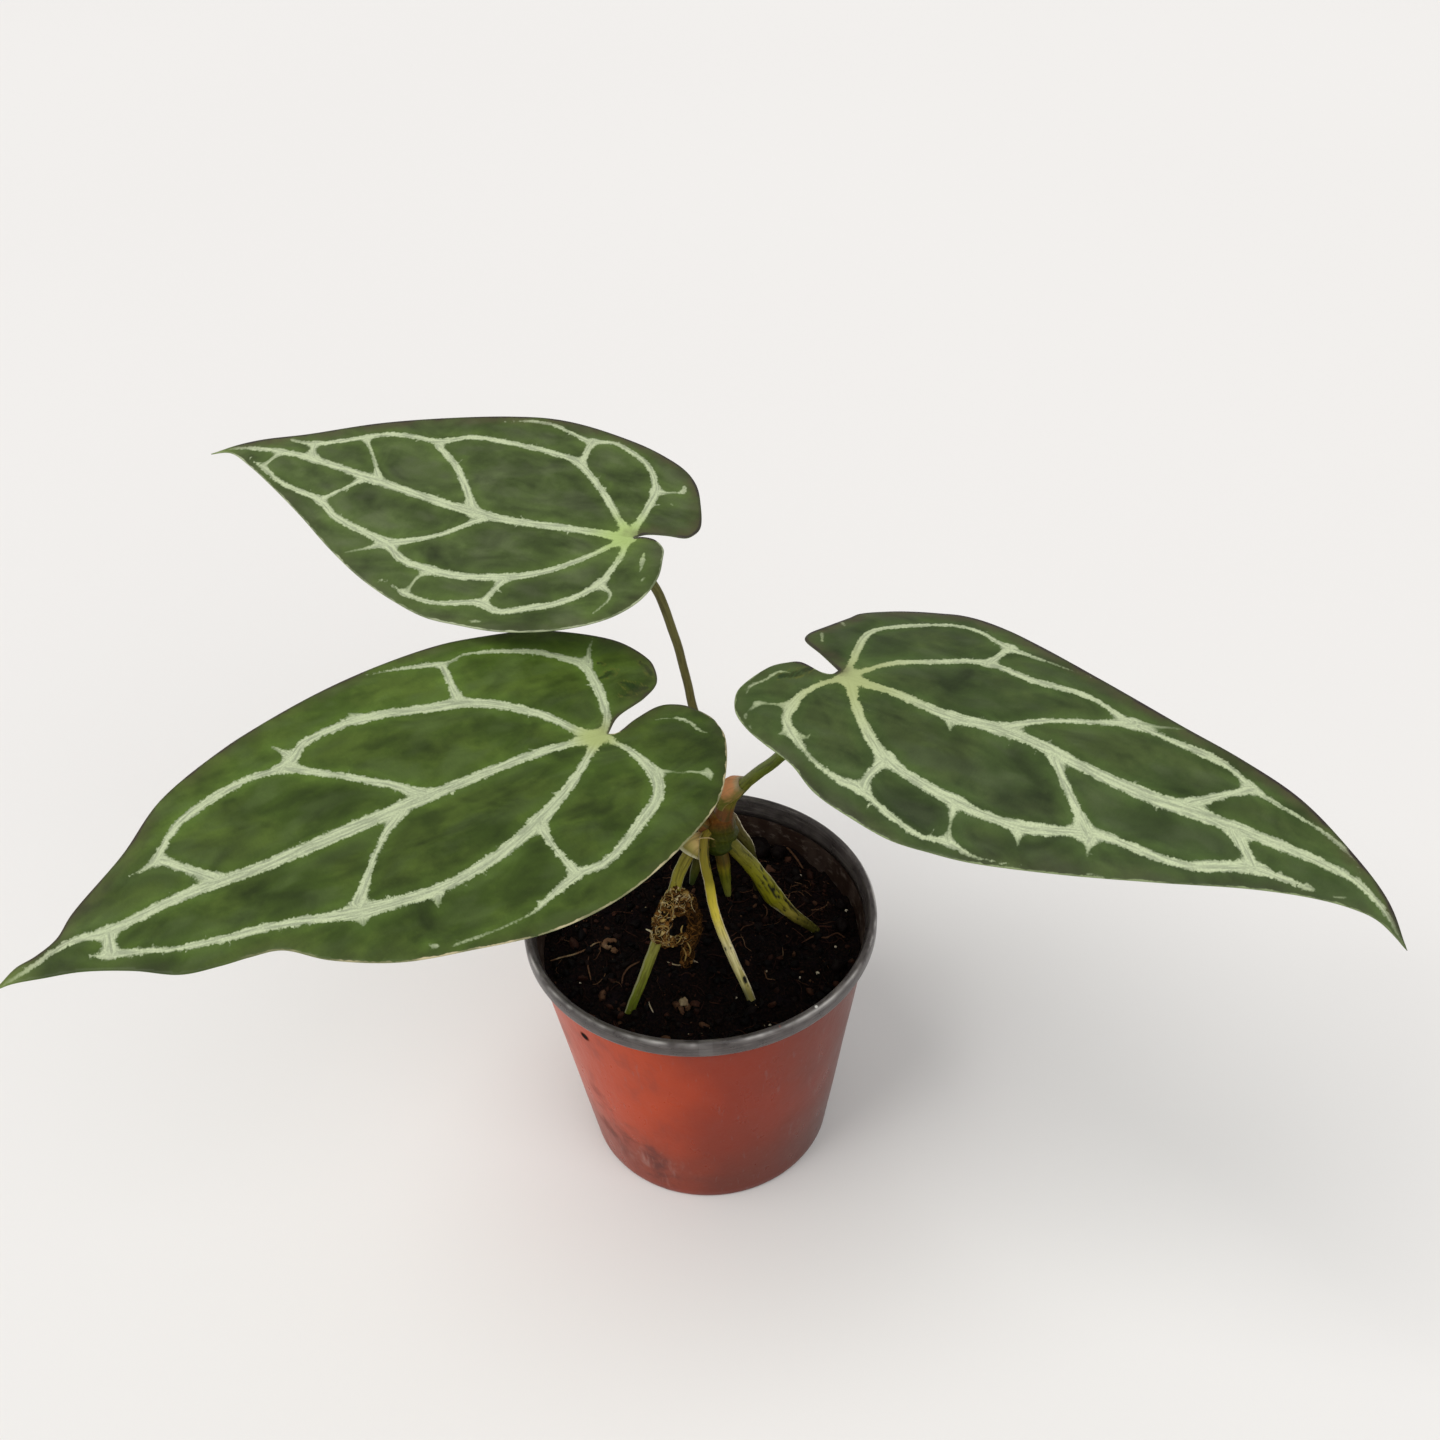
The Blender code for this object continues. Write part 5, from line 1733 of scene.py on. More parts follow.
    def fibre_skins(self) -> list[Skin]:
        """Fine fibres that lie in curls on the peat.

        Returns:
            Their skins.
        """
        rng = random.Random(5)
        parts = []
        starts = [self.scatter(rng) for _ in range(self.fibres)]
        starts += [tuple(rng.gauss(middle, 7.0) for middle in self.mat_centre)
                   for _ in range(self.matted)]
        for x, y in (spot for spot in starts if math.hypot(*spot) < 39.5):
            heading, curl = rng.uniform(0, math.tau), rng.gauss(0, 0.17)
            step = rng.uniform(0.6, 1.3)
            flat = []
            for _ in range(rng.randint(4, 9)):
                flat.append((x, y))
                heading += curl + rng.gauss(0, 0.25)
                x, y = x + step * math.cos(heading), y + step * math.sin(heading)
                if math.hypot(x, y) > self.limit:
                    break
            if len(flat) > 2:
                tone = 0.34 + 0.46 * rng.random() ** 2.8
                parts.append(strand(self.laid(flat, 0.45), rng.uniform(0.06, 0.17), tone, 5, 0.5))
        return parts

    def find_skins(self) -> list[Skin]:
        """The tan curl with its pale thread, the pebble, and the few bright bits.

        Returns:
            Their skins.
        """
        k = np.arange(12)
        angle, radius = np.radians(30 + 25 * k), 2.0 - 0.09 * k + 0.22 * np.sin(2.3 * k)
        curl = np.column_stack([radius * np.cos(angle), radius * 0.9 * np.sin(angle), 0 * k])
        parts = [strand(curl + self.on_top(-24.1, -0.8, 1.3), 0.66, 0.80, 9, 0.35),
                 lump(self.on_top(-22.9, -2.0, 1.2), (1.0, 0.7, 0.7), 23, 0.6, 3, 0.79)]
        parts += [strand(self.laid(flat, 0.7), radius, tone, 7, 0.4)
                  for flat, radius, tone in self.finds]
        parts += [lump(self.on_top(x, y, rise), size, seed, 0.7, 3, tone)
                  for seed, (x, y, rise, size, tone) in enumerate(self.pebbles, 31)]
        parts += [lump(self.on_top(x, y, 0.4), (size, size * 0.8, size * 0.7), seed, 0.4, 2, 1.0)
                  for seed, (x, y, size) in enumerate(self.bright, 60)]
        return parts

    def build(self) -> None:
        """Makes the peat in place of its node, and all that lies on it."""
        self.body().piece("peat", self.finish.material("peat"), Slot.SOIL, ["soil"])
        for name, skins in (("crumbs", self.crumb_skins()), ("fibres", self.fibre_skins()),
                            ("finds", self.find_skins())):
            finish = self.litter.material("soil " + name)
            Skin.joined(skins).piece("soil_" + name, finish, Slot.SOIL)


# Pot

@dataclass(frozen=True)
class PotFinish:
    """Thin two-tone plastic: terracotta outside, near black inside, charcoal rim, with painted
    light and shade on the wall.
    """

    clay: Colour = (0.245, 0.030, 0.012)
    # The orange is painted light on the lit left side; the dim colour is painted shade on the right
    # side and towards the bottom.
    painted_light_orange: Colour = (0.50, 0.058, 0.013)
    rose: Colour = (0.25, 0.042, 0.026)
    painted_shade: Colour = (0.098, 0.029, 0.019)
    scuff: Colour = (0.090, 0.040, 0.038)
    # The crease colour is a painted pinkish highlight along creases in the scuffs.
    crease_highlight: Colour = (0.34, 0.150, 0.120)
    black: Colour = (0.003, 0.002, 0.002)
    inside: Colour = (0.028, 0.015, 0.011)
    inside_worn: Colour = (0.060, 0.040, 0.032)
    inside_dust: Colour = (0.125, 0.095, 0.080)
    rim: Colour = (0.060, 0.050, 0.048)
    rim_worn: Colour = (0.100, 0.086, 0.082)
    rim_dark: Colour = (0.024, 0.020, 0.019)
    rim_pale: Colour = (0.17, 0.15, 0.14)
    seam: Colour = (0.16, 0.15, 0.145)
    # The lip colour is a painted highlight line round the rim's outer upper edge.
    lip: Colour = (0.62, 0.59, 0.57)
    dust: Colour = (0.20, 0.17, 0.165)
    smudges: tuple[tuple[Spot, float], ...] = (
        ((-22.0, -28.0, 21.0), 14.0), ((-14.0, -33.0, 10.0), 13.0), ((-28.0, -24.0, 34.0), 9.0))
    speck: tuple[Spot, float] = ((-29.6, -30.1, 64.8), 1.9)
    flecks: tuple[tuple[Spot, float, Colour], ...] = (
        ((27.4, -35.2, 78.0), 0.55, (0.75, 0.73, 0.70)),
        ((18.2, -40.6, 77.4), 0.6, (0.40, 0.09, 0.07)))

    def wall(self, name: str) -> bpy.types.Material:
        """The wall's material.

        Args:
            name: The material's name.

        Returns:
            The material.
        """
        g = Graph(name)
        place, inner = g.place(), g.value("inner")
        cloud = g.noise(place, 22.0, 2.0)
        patch = g.noise(place * (1.0, 1.0, 0.6), 7.0, 3.0, 0.6)
        grain = g.noise(place, 0.9, 3.0, 0.6)
        scratch = g.noise(place * (1.0, 1.0, 0.14), 1.3, 2.0, 0.6)
        # across runs from left to right, made uneven: painted light on the left, painted shade on
        # the right.
        across = g.part(place, "X") + (cloud - 0.5) * 30.0
        # low rises towards the bottom, where it lays painted shade and a little wear.
        low = g.step(g.part(place, "Z"), 38.0, 6.0)
        smudge = sum(g.spot(place, centre, reach) for centre, reach in self.smudges)
        brush = g.noise(place * (0.55, 0.55, 0.8) + (0.0, 0.0, 3.0), 6.0, 3.0, 0.6, 0.4)
        brushed = smudge * g.step(brush, 0.22, 0.78) * 0.40
        worn = g.step(patch * 0.6 + low * 0.08 + brushed, 0.40, 0.84)
        # Where the painted highlight runs along creases inside the scuffs.
        crease_highlight = g.noise(place * (1.4, 1.4, 0.45) + (0.0, 5.0, 0.0), 3.6, 3.0, 0.6, 0.5)
        speck = g.spot(place, *self.speck)
        dusty = g.noise(place * (1.0, 1.0, 2.2), 4.0, 4.0, 0.7)
        dark = g.painted(self.inside, (g.step(patch, 0.46, 0.66) * 0.8, self.inside_worn),
                         (g.step(dusty, 0.52, 0.64) * 0.7, self.inside_dust))
        colour = g.painted(self.painted_light_orange, (g.step(across, -24.0, 6.0), self.clay),
                           (g.step(patch, 0.50, 0.72) * 0.4, self.rose),
                           (g.step(across, 0.0, 42.0) * 0.75, self.painted_shade),
                           (low * (0.35 + cloud * 0.5), self.painted_shade), (worn * 0.66, self.scuff),
                           (smudge * g.step(crease_highlight, 0.52, 0.74) * 0.42, self.crease_highlight),
                           (g.step(scratch, 0.65, 0.71) * 0.16, self.dust), (speck, self.black),
                           (inner, dark))
        rough = 0.30 + (patch - 0.5) * 0.18 + worn * 0.20 + inner * 0.18 + speck * 0.6
        return g.dressed(Base_Color=colour, Roughness=rough, Specular_IOR_Level=0.10,
                         Normal=g.bump(patch * 0.7 + grain * 0.1 + scratch * 0.2, 0.5, 0.5))

    def collar(self, name: str) -> bpy.types.Material:
        """The rim's material.

        Args:
            name: The material's name.

        Returns:
            The material.
        """
        g = Graph(name)
        place = g.place()
        x, y = g.part(place, "X"), g.part(place, "Y")
        patch = g.noise(place, 5.0, 3.0, 0.6)
        grain = g.noise(place, 0.6, 3.0, 0.65)
        seam = g.step(x, -1.2, -0.9) * g.step(x, 2.4, 2.0) * g.step(y, 0.0, -30.0)
        streaks = g.noise(place * (0.16, 0.16, 2.4), 1.0, 3.0, 0.65)
        length = g.step(g.noise(place, 15.0, 3.0, 0.55), 0.42, 0.60)
        # The lip colour, laid by the value inner and broken by length, is a painted highlight line.
        colour = g.painted(self.rim, (g.step(patch, 0.42, 0.66) * 0.7, self.rim_worn),
                           (g.step(grain, 0.64, 0.72) * 0.4, self.dust), (seam * 0.35, self.seam),
                           (g.step(streaks, 0.52, 0.66) * 0.7, self.rim_dark),
                           (g.step(streaks, 0.44, 0.32) * 0.5, self.rim_pale),
                           (g.value("inner") * length * 0.9, self.lip))
        for centre, reach, fleck in self.flecks:
            colour = g.mix(g.spot(place, centre, reach), colour, fleck)
        rough = 0.30 + (patch - 0.5) * 0.2 + (grain - 0.5) * 0.1
        return g.dressed(Base_Color=colour, Roughness=rough, Specular_IOR_Level=0.32,
                         Normal=g.bump(patch * 0.8 + grain * 0.2, 0.3, 0.5))


@dataclass
class Pot:
    """A thin tapered nursery pot with a rolled rim, six drain holes and a raised floor."""

    HEIGHT = 78.0
    NECK = 43.4
    FOOT = 33.0
    WALL = 1.0
    BAND = 5.2

    rim_radius: float = 45.5
    rim_thick: float = 2.3
    floor_top: float = 3.0
    recess: float = 2.0
    pad: float = 9.0
    foot_width: float = 5.5
    dent: float = 0.16
    holes: int = 6
    hole_radius: float = 3.2
    hole_circle: float = 18.5
    segments: int = 180
    finish: PotFinish = PotFinish()

    @classmethod
    def wall(cls, z: float) -> float:
        """Outside radius of the wall at a height."""
        return cls.FOOT + (cls.NECK - cls.FOOT) * (z - 1.0) / (cls.HEIGHT - cls.BAND - 1.0)

    def lathe(self, profile: Sequence[Spot], dent: float = 0.0) -> Skin:
        """A turned closed skin.

        Args:
            profile: Radius, height and inner share at each place round the section, closed.
            dent: How uneven it is.

        Returns:
            The skin.
        """
        sides, rows = self.segments, len(profile)
        radius, height, inner = (np.repeat(column, sides) for column in zip(*profile))
        turn = np.tile(np.linspace(0, math.tau, sides, endpoint=False), rows)
        points = np.column_stack([radius * np.cos(turn), radius * np.sin(turn), height])
        rise = np.clip(height / 20.0, 0, 1) * np.clip((77.0 - height) / 10.0, 0, 1)
        shift = dent * ripple(points, 26.0, 8) * rise
        points += shift[:, None] * np.column_stack([np.cos(turn), np.sin(turn), 0 * turn])
        starts = [k * sides for k in range(rows)]
        faces = [face for pair in zip(starts, starts[1:] + [0]) for face in band(*pair, sides)]
        return Skin(points, faces, {"inner": inner})

    def section(self) -> list[Spot]:
        """The wall's and outer floor's section, from the pad's ring out, up and back inside.

        Returns:
            Radius, height and inner share at each place.
        """
        neck, top, thick, pad = self.HEIGHT - self.BAND, self.floor_top, self.WALL, self.pad + 2.2
        foot, flat, lip = self.FOOT, self.FOOT - self.foot_width, self.wall(neck)
        out = [(pad, self.recess, 0.0), (flat - 1.6, self.recess, 0.0), (flat - 0.4, 0.5, 0.0),
               (flat + 0.3, 0.02, 0.0), (foot - 1.2, 0.02, 0.0), (foot - 0.35, 0.3, 0.0),
               (foot - 0.02, 1.0, 0.0)]
        out += [(self.wall(z) - 0.02, z, 0.0) for z in np.linspace(3.0, neck - 0.2, 40)]
        out += [(lip + 0.7, neck + 0.9, 0.0), (lip + 0.8, self.HEIGHT - 2.4, 0.0),
                (lip + 0.3, self.HEIGHT - 2.4, 1.0), (lip - 0.3, neck + 1.0, 1.0)]
        out += [(self.wall(z) - thick + 0.02, z, 1.0)
                for z in np.linspace(neck - 0.8, top + 1.5, 40)]
        return out + [(self.wall(top) - thick - 0.5, top + 0.35, 1.0),
                      (self.wall(top) - thick - 1.6, top, 1.0), (pad, top, 1.0)]

    def collar(self) -> list[Spot]:
        """The rolled rim's section.

        Returns:
            Radius, height and the share of the painted highlight line at each place.
        """
        top, low, wall = self.HEIGHT, self.HEIGHT - self.BAND, self.wall(self.HEIGHT - self.BAND)
        inner, outer = self.rim_radius - self.rim_thick, self.rim_radius - 0.04
        # The third values near the outer upper edge lay the rim's painted highlight line.
        return [(wall + 0.05, low + 0.25, 0.0), (outer - 0.9, low + 0.2, 0.0),
                (outer - 0.3, low + 0.55, 0.0), (outer, low + 1.3, 0.0), (outer, top - 1.7, 0.0),
                (outer - 0.12, top - 0.95, 0.25), (outer - 0.40, top - 0.45, 0.9),
                (outer - 0.70, top - 0.2, 0.2), (outer - 0.95, top - 0.1, 0.0),
                (outer - 1.4, top - 0.02, 0.0), (inner + 0.5, top - 0.3, 0.0),
                (inner + 0.12, top - 0.9, 0.0), (inner - 0.05, top - 1.8, 0.0),
                (wall - 0.9, low + 1.6, 0.0), (wall - 0.98, low - 0.4, 0.0),
                (wall - 0.3, low - 0.4, 0.0), (wall + 0.02, low - 0.1, 0.0)]

    def centre_pad(self) -> list[Spot]:
        """The section of the floor's centre pad.

        Returns:
            Radius, height and inner share at each place.
        """
        pad, top = self.pad, self.floor_top - 0.02
        return [(0.01, 0.02, 0.0), (pad - 0.5, 0.02, 0.0), (pad + 0.4, 0.4, 0.0),
                (pad + 1.5, self.recess, 0.0), (pad + 2.6, self.recess + 0.02, 0.0),
                (pad + 2.6, top, 1.0), (0.01, top, 1.0)]

    def drain(self, wall: bpy.types.Object) -> None:
        """Drills the drain holes.

        Args:
            wall: The pot's wall with its floor.
        """
        for k in range(self.holes):
            angle = math.tau * (k + 0.5) / self.holes
            x, y = self.hole_circle * math.cos(angle), self.hole_circle * math.sin(angle)
            drill = tube(np.array([(x, y, 0.5), (x, y, 4.5)]), np.full(2, self.hole_radius), 40)
            tool = placed("drill", Skin(drill.points, drill.faces).mesh("drill"))
            cut = wall.modifiers.new("drain", "BOOLEAN")
            cut.operation, cut.solver, cut.object = "DIFFERENCE", "EXACT", tool
            drilled = wall.evaluated_get(bpy.context.evaluated_depsgraph_get())
            shape = bpy.data.meshes.new_from_object(drilled)
            wall.modifiers.clear()
            wall.data = shape
            bpy.data.objects.remove(tool, do_unlink=True)
        wall.data.set_sharp_from_angle(angle=math.radians(50))

    def build(self) -> None:
        """Makes the wall in place of the pot's node, with its pad, its drain holes and the rim."""
        wall = self.lathe(self.section(), self.dent).piece(
            "pot_wall", self.finish.wall("pot wall"), Slot.POT, ["pot"])
        self.lathe(self.centre_pad()).piece("pot_pad", wall.data.materials[0], Slot.POT)
        self.drain(wall)
        self.lathe(self.collar()).piece("pot_rim", self.finish.collar("pot rim"), Slot.POT)


# Studio

@dataclass
class Studio:
    """The pale floor, the soft lights and the camera."""

    elevation: float = 38.6
    roll: float = 2.5
    eye: Spot = (7.29, -291.8, 372.0)
    lens: float = 40.0
    sensor: float = 36.0
    floor_reach: float = 4000.0
    floor_colours: tuple[Colour, Colour] = ((0.80, 0.785, 0.775), (0.84, 0.83, 0.82))
    suns: tuple[tuple[str, float, float, float, float, Colour], ...] = (
        ("key", 205.0, 58.0, 38.0, 1.75, (1.0, 0.985, 0.96)),
        ("fill", -60.0, 42.0, 50.0, 0.95, (0.97, 0.985, 1.0)))
    sky: Colour = (1.0, 0.99, 0.98)
    sky_strength: float = 0.42

    def floor(self) -> None:
        """The pale floor, just under the pot."""
        r = self.floor_reach
        corners = np.array([(-r, -r, -0.1), (r, -r, -0.1), (r, r, -0.1), (-r, r, -0.1)])
        mesh = Skin(corners, [(0, 1, 2, 3)]).mesh("floor")
        g = Graph("floor")
        colour = g.mix(g.noise(g.place(), 900.0, 1.0), *self.floor_colours)
        mesh.materials.append(g.dressed(Base_Color=colour, Roughness=0.9, Specular_IOR_Level=0.1))
        placed("floor", mesh)

    def sun(self, name: str, azimuth: float, elevation: float, width: float, strength: float,
            colour: Colour) -> None:
        """An even soft light from far away.

        Args:
            name: Its name.
            azimuth: Where it comes from, in degrees from +X towards +Y.
            elevation: How high it stands, in degrees.
            width: How wide it is, in degrees.
            strength: Its strength.
            colour: Its colour.
        """
        data = bpy.data.lights.new(name, "SUN")
        data.energy, data.angle, data.color = strength, math.radians(width), colour
        turn, rise = math.radians(azimuth), math.radians(elevation)
        level = math.cos(rise)
        source = Vector((math.cos(turn) * level, math.sin(turn) * level, math.sin(rise)))
        lamp = placed(name, data)
        lamp.location = source * 2.0
        lamp.rotation_mode = "QUATERNION"
        lamp.rotation_quaternion = (-source).to_track_quat("-Z", "Y")

    def camera(self) -> None:
        """The camera at the photograph's angle."""
        data = bpy.data.cameras.new("camera")
        data.lens, data.sensor_width = self.lens, self.sensor
        data.clip_start, data.clip_end = 0.01, 20.0
        tilt, roll = math.radians(self.elevation), math.radians(self.roll)
        ahead = Vector((0.0, math.cos(tilt), -math.sin(tilt)))
        level = Vector((1.0, 0.0, 0.0))
        up = level.cross(ahead)
        right = level * math.cos(roll) - up * math.sin(roll)
        above = level * math.sin(roll) + up * math.cos(roll)
        matrix = Matrix((right, above, -ahead)).transposed().to_4x4()
        matrix.translation = Vector(self.eye) * MM
        camera = placed("camera", data)
        camera.matrix_world = matrix
        bpy.context.scene.camera = camera

    def build(self) -> None:
        """Sets up the whole studio."""
        self.camera()
        self.floor()
        for light in self.suns:
            self.sun(*light)
        world = bpy.data.worlds.new("world")
        world.use_nodes = True
        sky = world.node_tree.nodes["Background"].inputs
        sky["Color"].default_value = (*self.sky, 1.0)
        sky["Strength"].default_value = self.sky_strength
        bpy.context.scene.world = world
        bpy.context.scene.view_settings.view_transform = "Standard"


# The plant's own sizes

BACK_LEFT = Blade(
    name="back_left", seed=1,
    surface=LeafSurface(seat=(-12.0, 24.0, 175.0), azimuth=162.0, pitch=3.0, roll=-8.0, droop=13.5,
                        bend=-18.5, twist=-21.5, arch=2.3, fold=-0.7, lobe=5.5),
    left=((-1, 0), (-2.5, -1), (-6, -1), (-9, 1.5), (-10, 5), (-11, 12), (-9.5, 19.5), (-5.5, 25.5),
          (0, 29.5), (8, 33), (18, 35), (27, 35), (35, 34.5), (43.5, 32), (55, 27.5), (68, 21),
          (81, 14), (94, 8), (105.5, 3.5), (115, 1), (121, 2.5)),
    right=((-1, 0), (-3.5, -2), (-8, -3), (-13, -3.5), (-14.5, -5.5), (-15, -8), (-12.5, -16.5),
           (-9, -24), (-4, -29), (5, -33), (16, -35), (27, -35.5), (35.5, -34.5), (45.5, -31.5),
           (61, -25.5), (77.5, -18.5), (95, -10), (108, -5), (115, -1.5), (121, 2.5)),
    veins=(
        Vein(((0, 0), (16, 1), (34, 2), (62, -0.5), (89.5, -3), (104, -2.5), (115, -0.5),
             (119.5, 1.6)), (2.6, 2.4, 2.4, 2.6, 2.6, 2.3, 2.2, 2.0, 1.7, 1.2, 0.6)),
        Vein(((0.5, -1), (11.5, -13.5), (21, -21.5), (24, -22.5), (41, -22.5), (51.5, -21),
             (58.5, -17.5), (71.5, -16), (91, -7.5), (101, -7)), (1.9, 1.9, 2.0, 1.7, 1.6, 1.5, 1.4,
             0.8), 4.0),
        Vein(((91, -7.5), (90.5, -5.5), (88.5, -3.5)), (1.3, 1.5)),
        Vein(((38.5, 1.5), (49, -10), (58, -16)), (2.2, 1.9, 1.7)),
        Vein(((67, -1.5), (73, -8), (78, -12.5)), (1.4, 0.9, 1.1)),
        Vein(((-0.5, -1.5), (-1, -17), (0, -20), (2.5, -24.5), (5.5, -27.5), (12.5, -31),
             (16.5, -31.6), (21.5, -30), (28.5, -31.5), (33.5, -32.5), (41.5, -31), (46, -29)),
             (1.8, 2.0, 1.8, 1.6, 1.5, 1.3, 1.2, 0.8), 7.0),
        Vein(((21, -30), (21, -27), (20.5, -22)), (1.9, 1.7)),
        Vein(((-1, -17.5), (-3.2, -17.8), (-5.4, -18.7), (-7.1, -19.4), (-6.9, -21.8)), (1.6, 0.9,
             0.8, 1.2, 0.9)),
        Vein(((0.5, 1), (8, 10), (13.5, 15), (21.5, 19), (34, 21.5), (41.5, 21), (46, 20.5),
             (49, 19.5), (54, 16.5), (71.5, 12), (78.5, 8.5), (92.5, 6), (102, 2.6), (107, 1.4)),
             (1.5, 1.7, 2.1, 2.2, 2.1, 2.0, 1.9, 1.6, 1.3, 0.9), 6.0),
        Vein(((35, 3), (43, 10.5), (47, 13), (54, 16)), (1.5, 1.5, 1.8)),
        Vein(((71.5, 0), (78, 7.5)), (1.3, 1.1, 1.4)),
        Vein(((99.5, -1.5), (101.5, 2.0)), (1.0, 0.9)),
        Vein(((0, 1.5), (-0.5, 5.5), (1.5, 17), (7.5, 24), (13.5, 27), (19.5, 29.5), (25, 28),
             (33.5, 30), (40.5, 29.6), (50, 26.5)), (1.4, 1.5, 1.9, 2.0, 1.8, 1.5, 1.2, 0.8), 8.0),
        Vein(((22.5, 20.5), (24, 27.5)), (1.8, 1.5, 1.6)),
        Vein(((1, 17), (-2, 19), (-2.5, 21), (0, 27)), (1.6, 1.1, 0.8, 0.6, 0.4), 1.0),
        Vein(((40.5, 22), (42, 24), (42.5, 28.5)), (0.9, 0.6)),
        Vein(((55, 17), (63, 21.3)), (1.4, 0.8, 0.6)),
        Vein(((-5.3, 4.6), (-6.0, 8.1), (-6.4, 10.8)), (0.6, 1.2, 0.9, 0.3)),
        Vein(((-8.0, 12.5), (-7.5, 14.0)), (0.5, 0.4)),
        Vein(((22.5, 33.0), (25.0, 33.4)), (0.5, 0.9, 0.4)),
        Vein(((-6.3, -14.0), (-5.7, -14.5)), (0.5, 0.4)),
        Vein(((41.0, 33.6), (43.0, 32.9)), (0.4, 0.7, 0.4))),
    finish=LeafFinish(deep=(0.046, 0.070, 0.017), warm=(0.065, 0.094, 0.027),
                      fresh=(0.078, 0.125, 0.024), painted_sheen=(0.078, 0.100, 0.042), heart_reach=16.0,
                      lime=(0.37, 0.50, 0.15), glow_share=0.7, fray=0.62, slim=0.07,
                      left_edge=(0.36, 0.40, 0.25), left_width=0.40, left_tint=0.15,
                      right_edge=(0.040, 0.034, 0.026), right_width=0.8, right_tint=0.6))

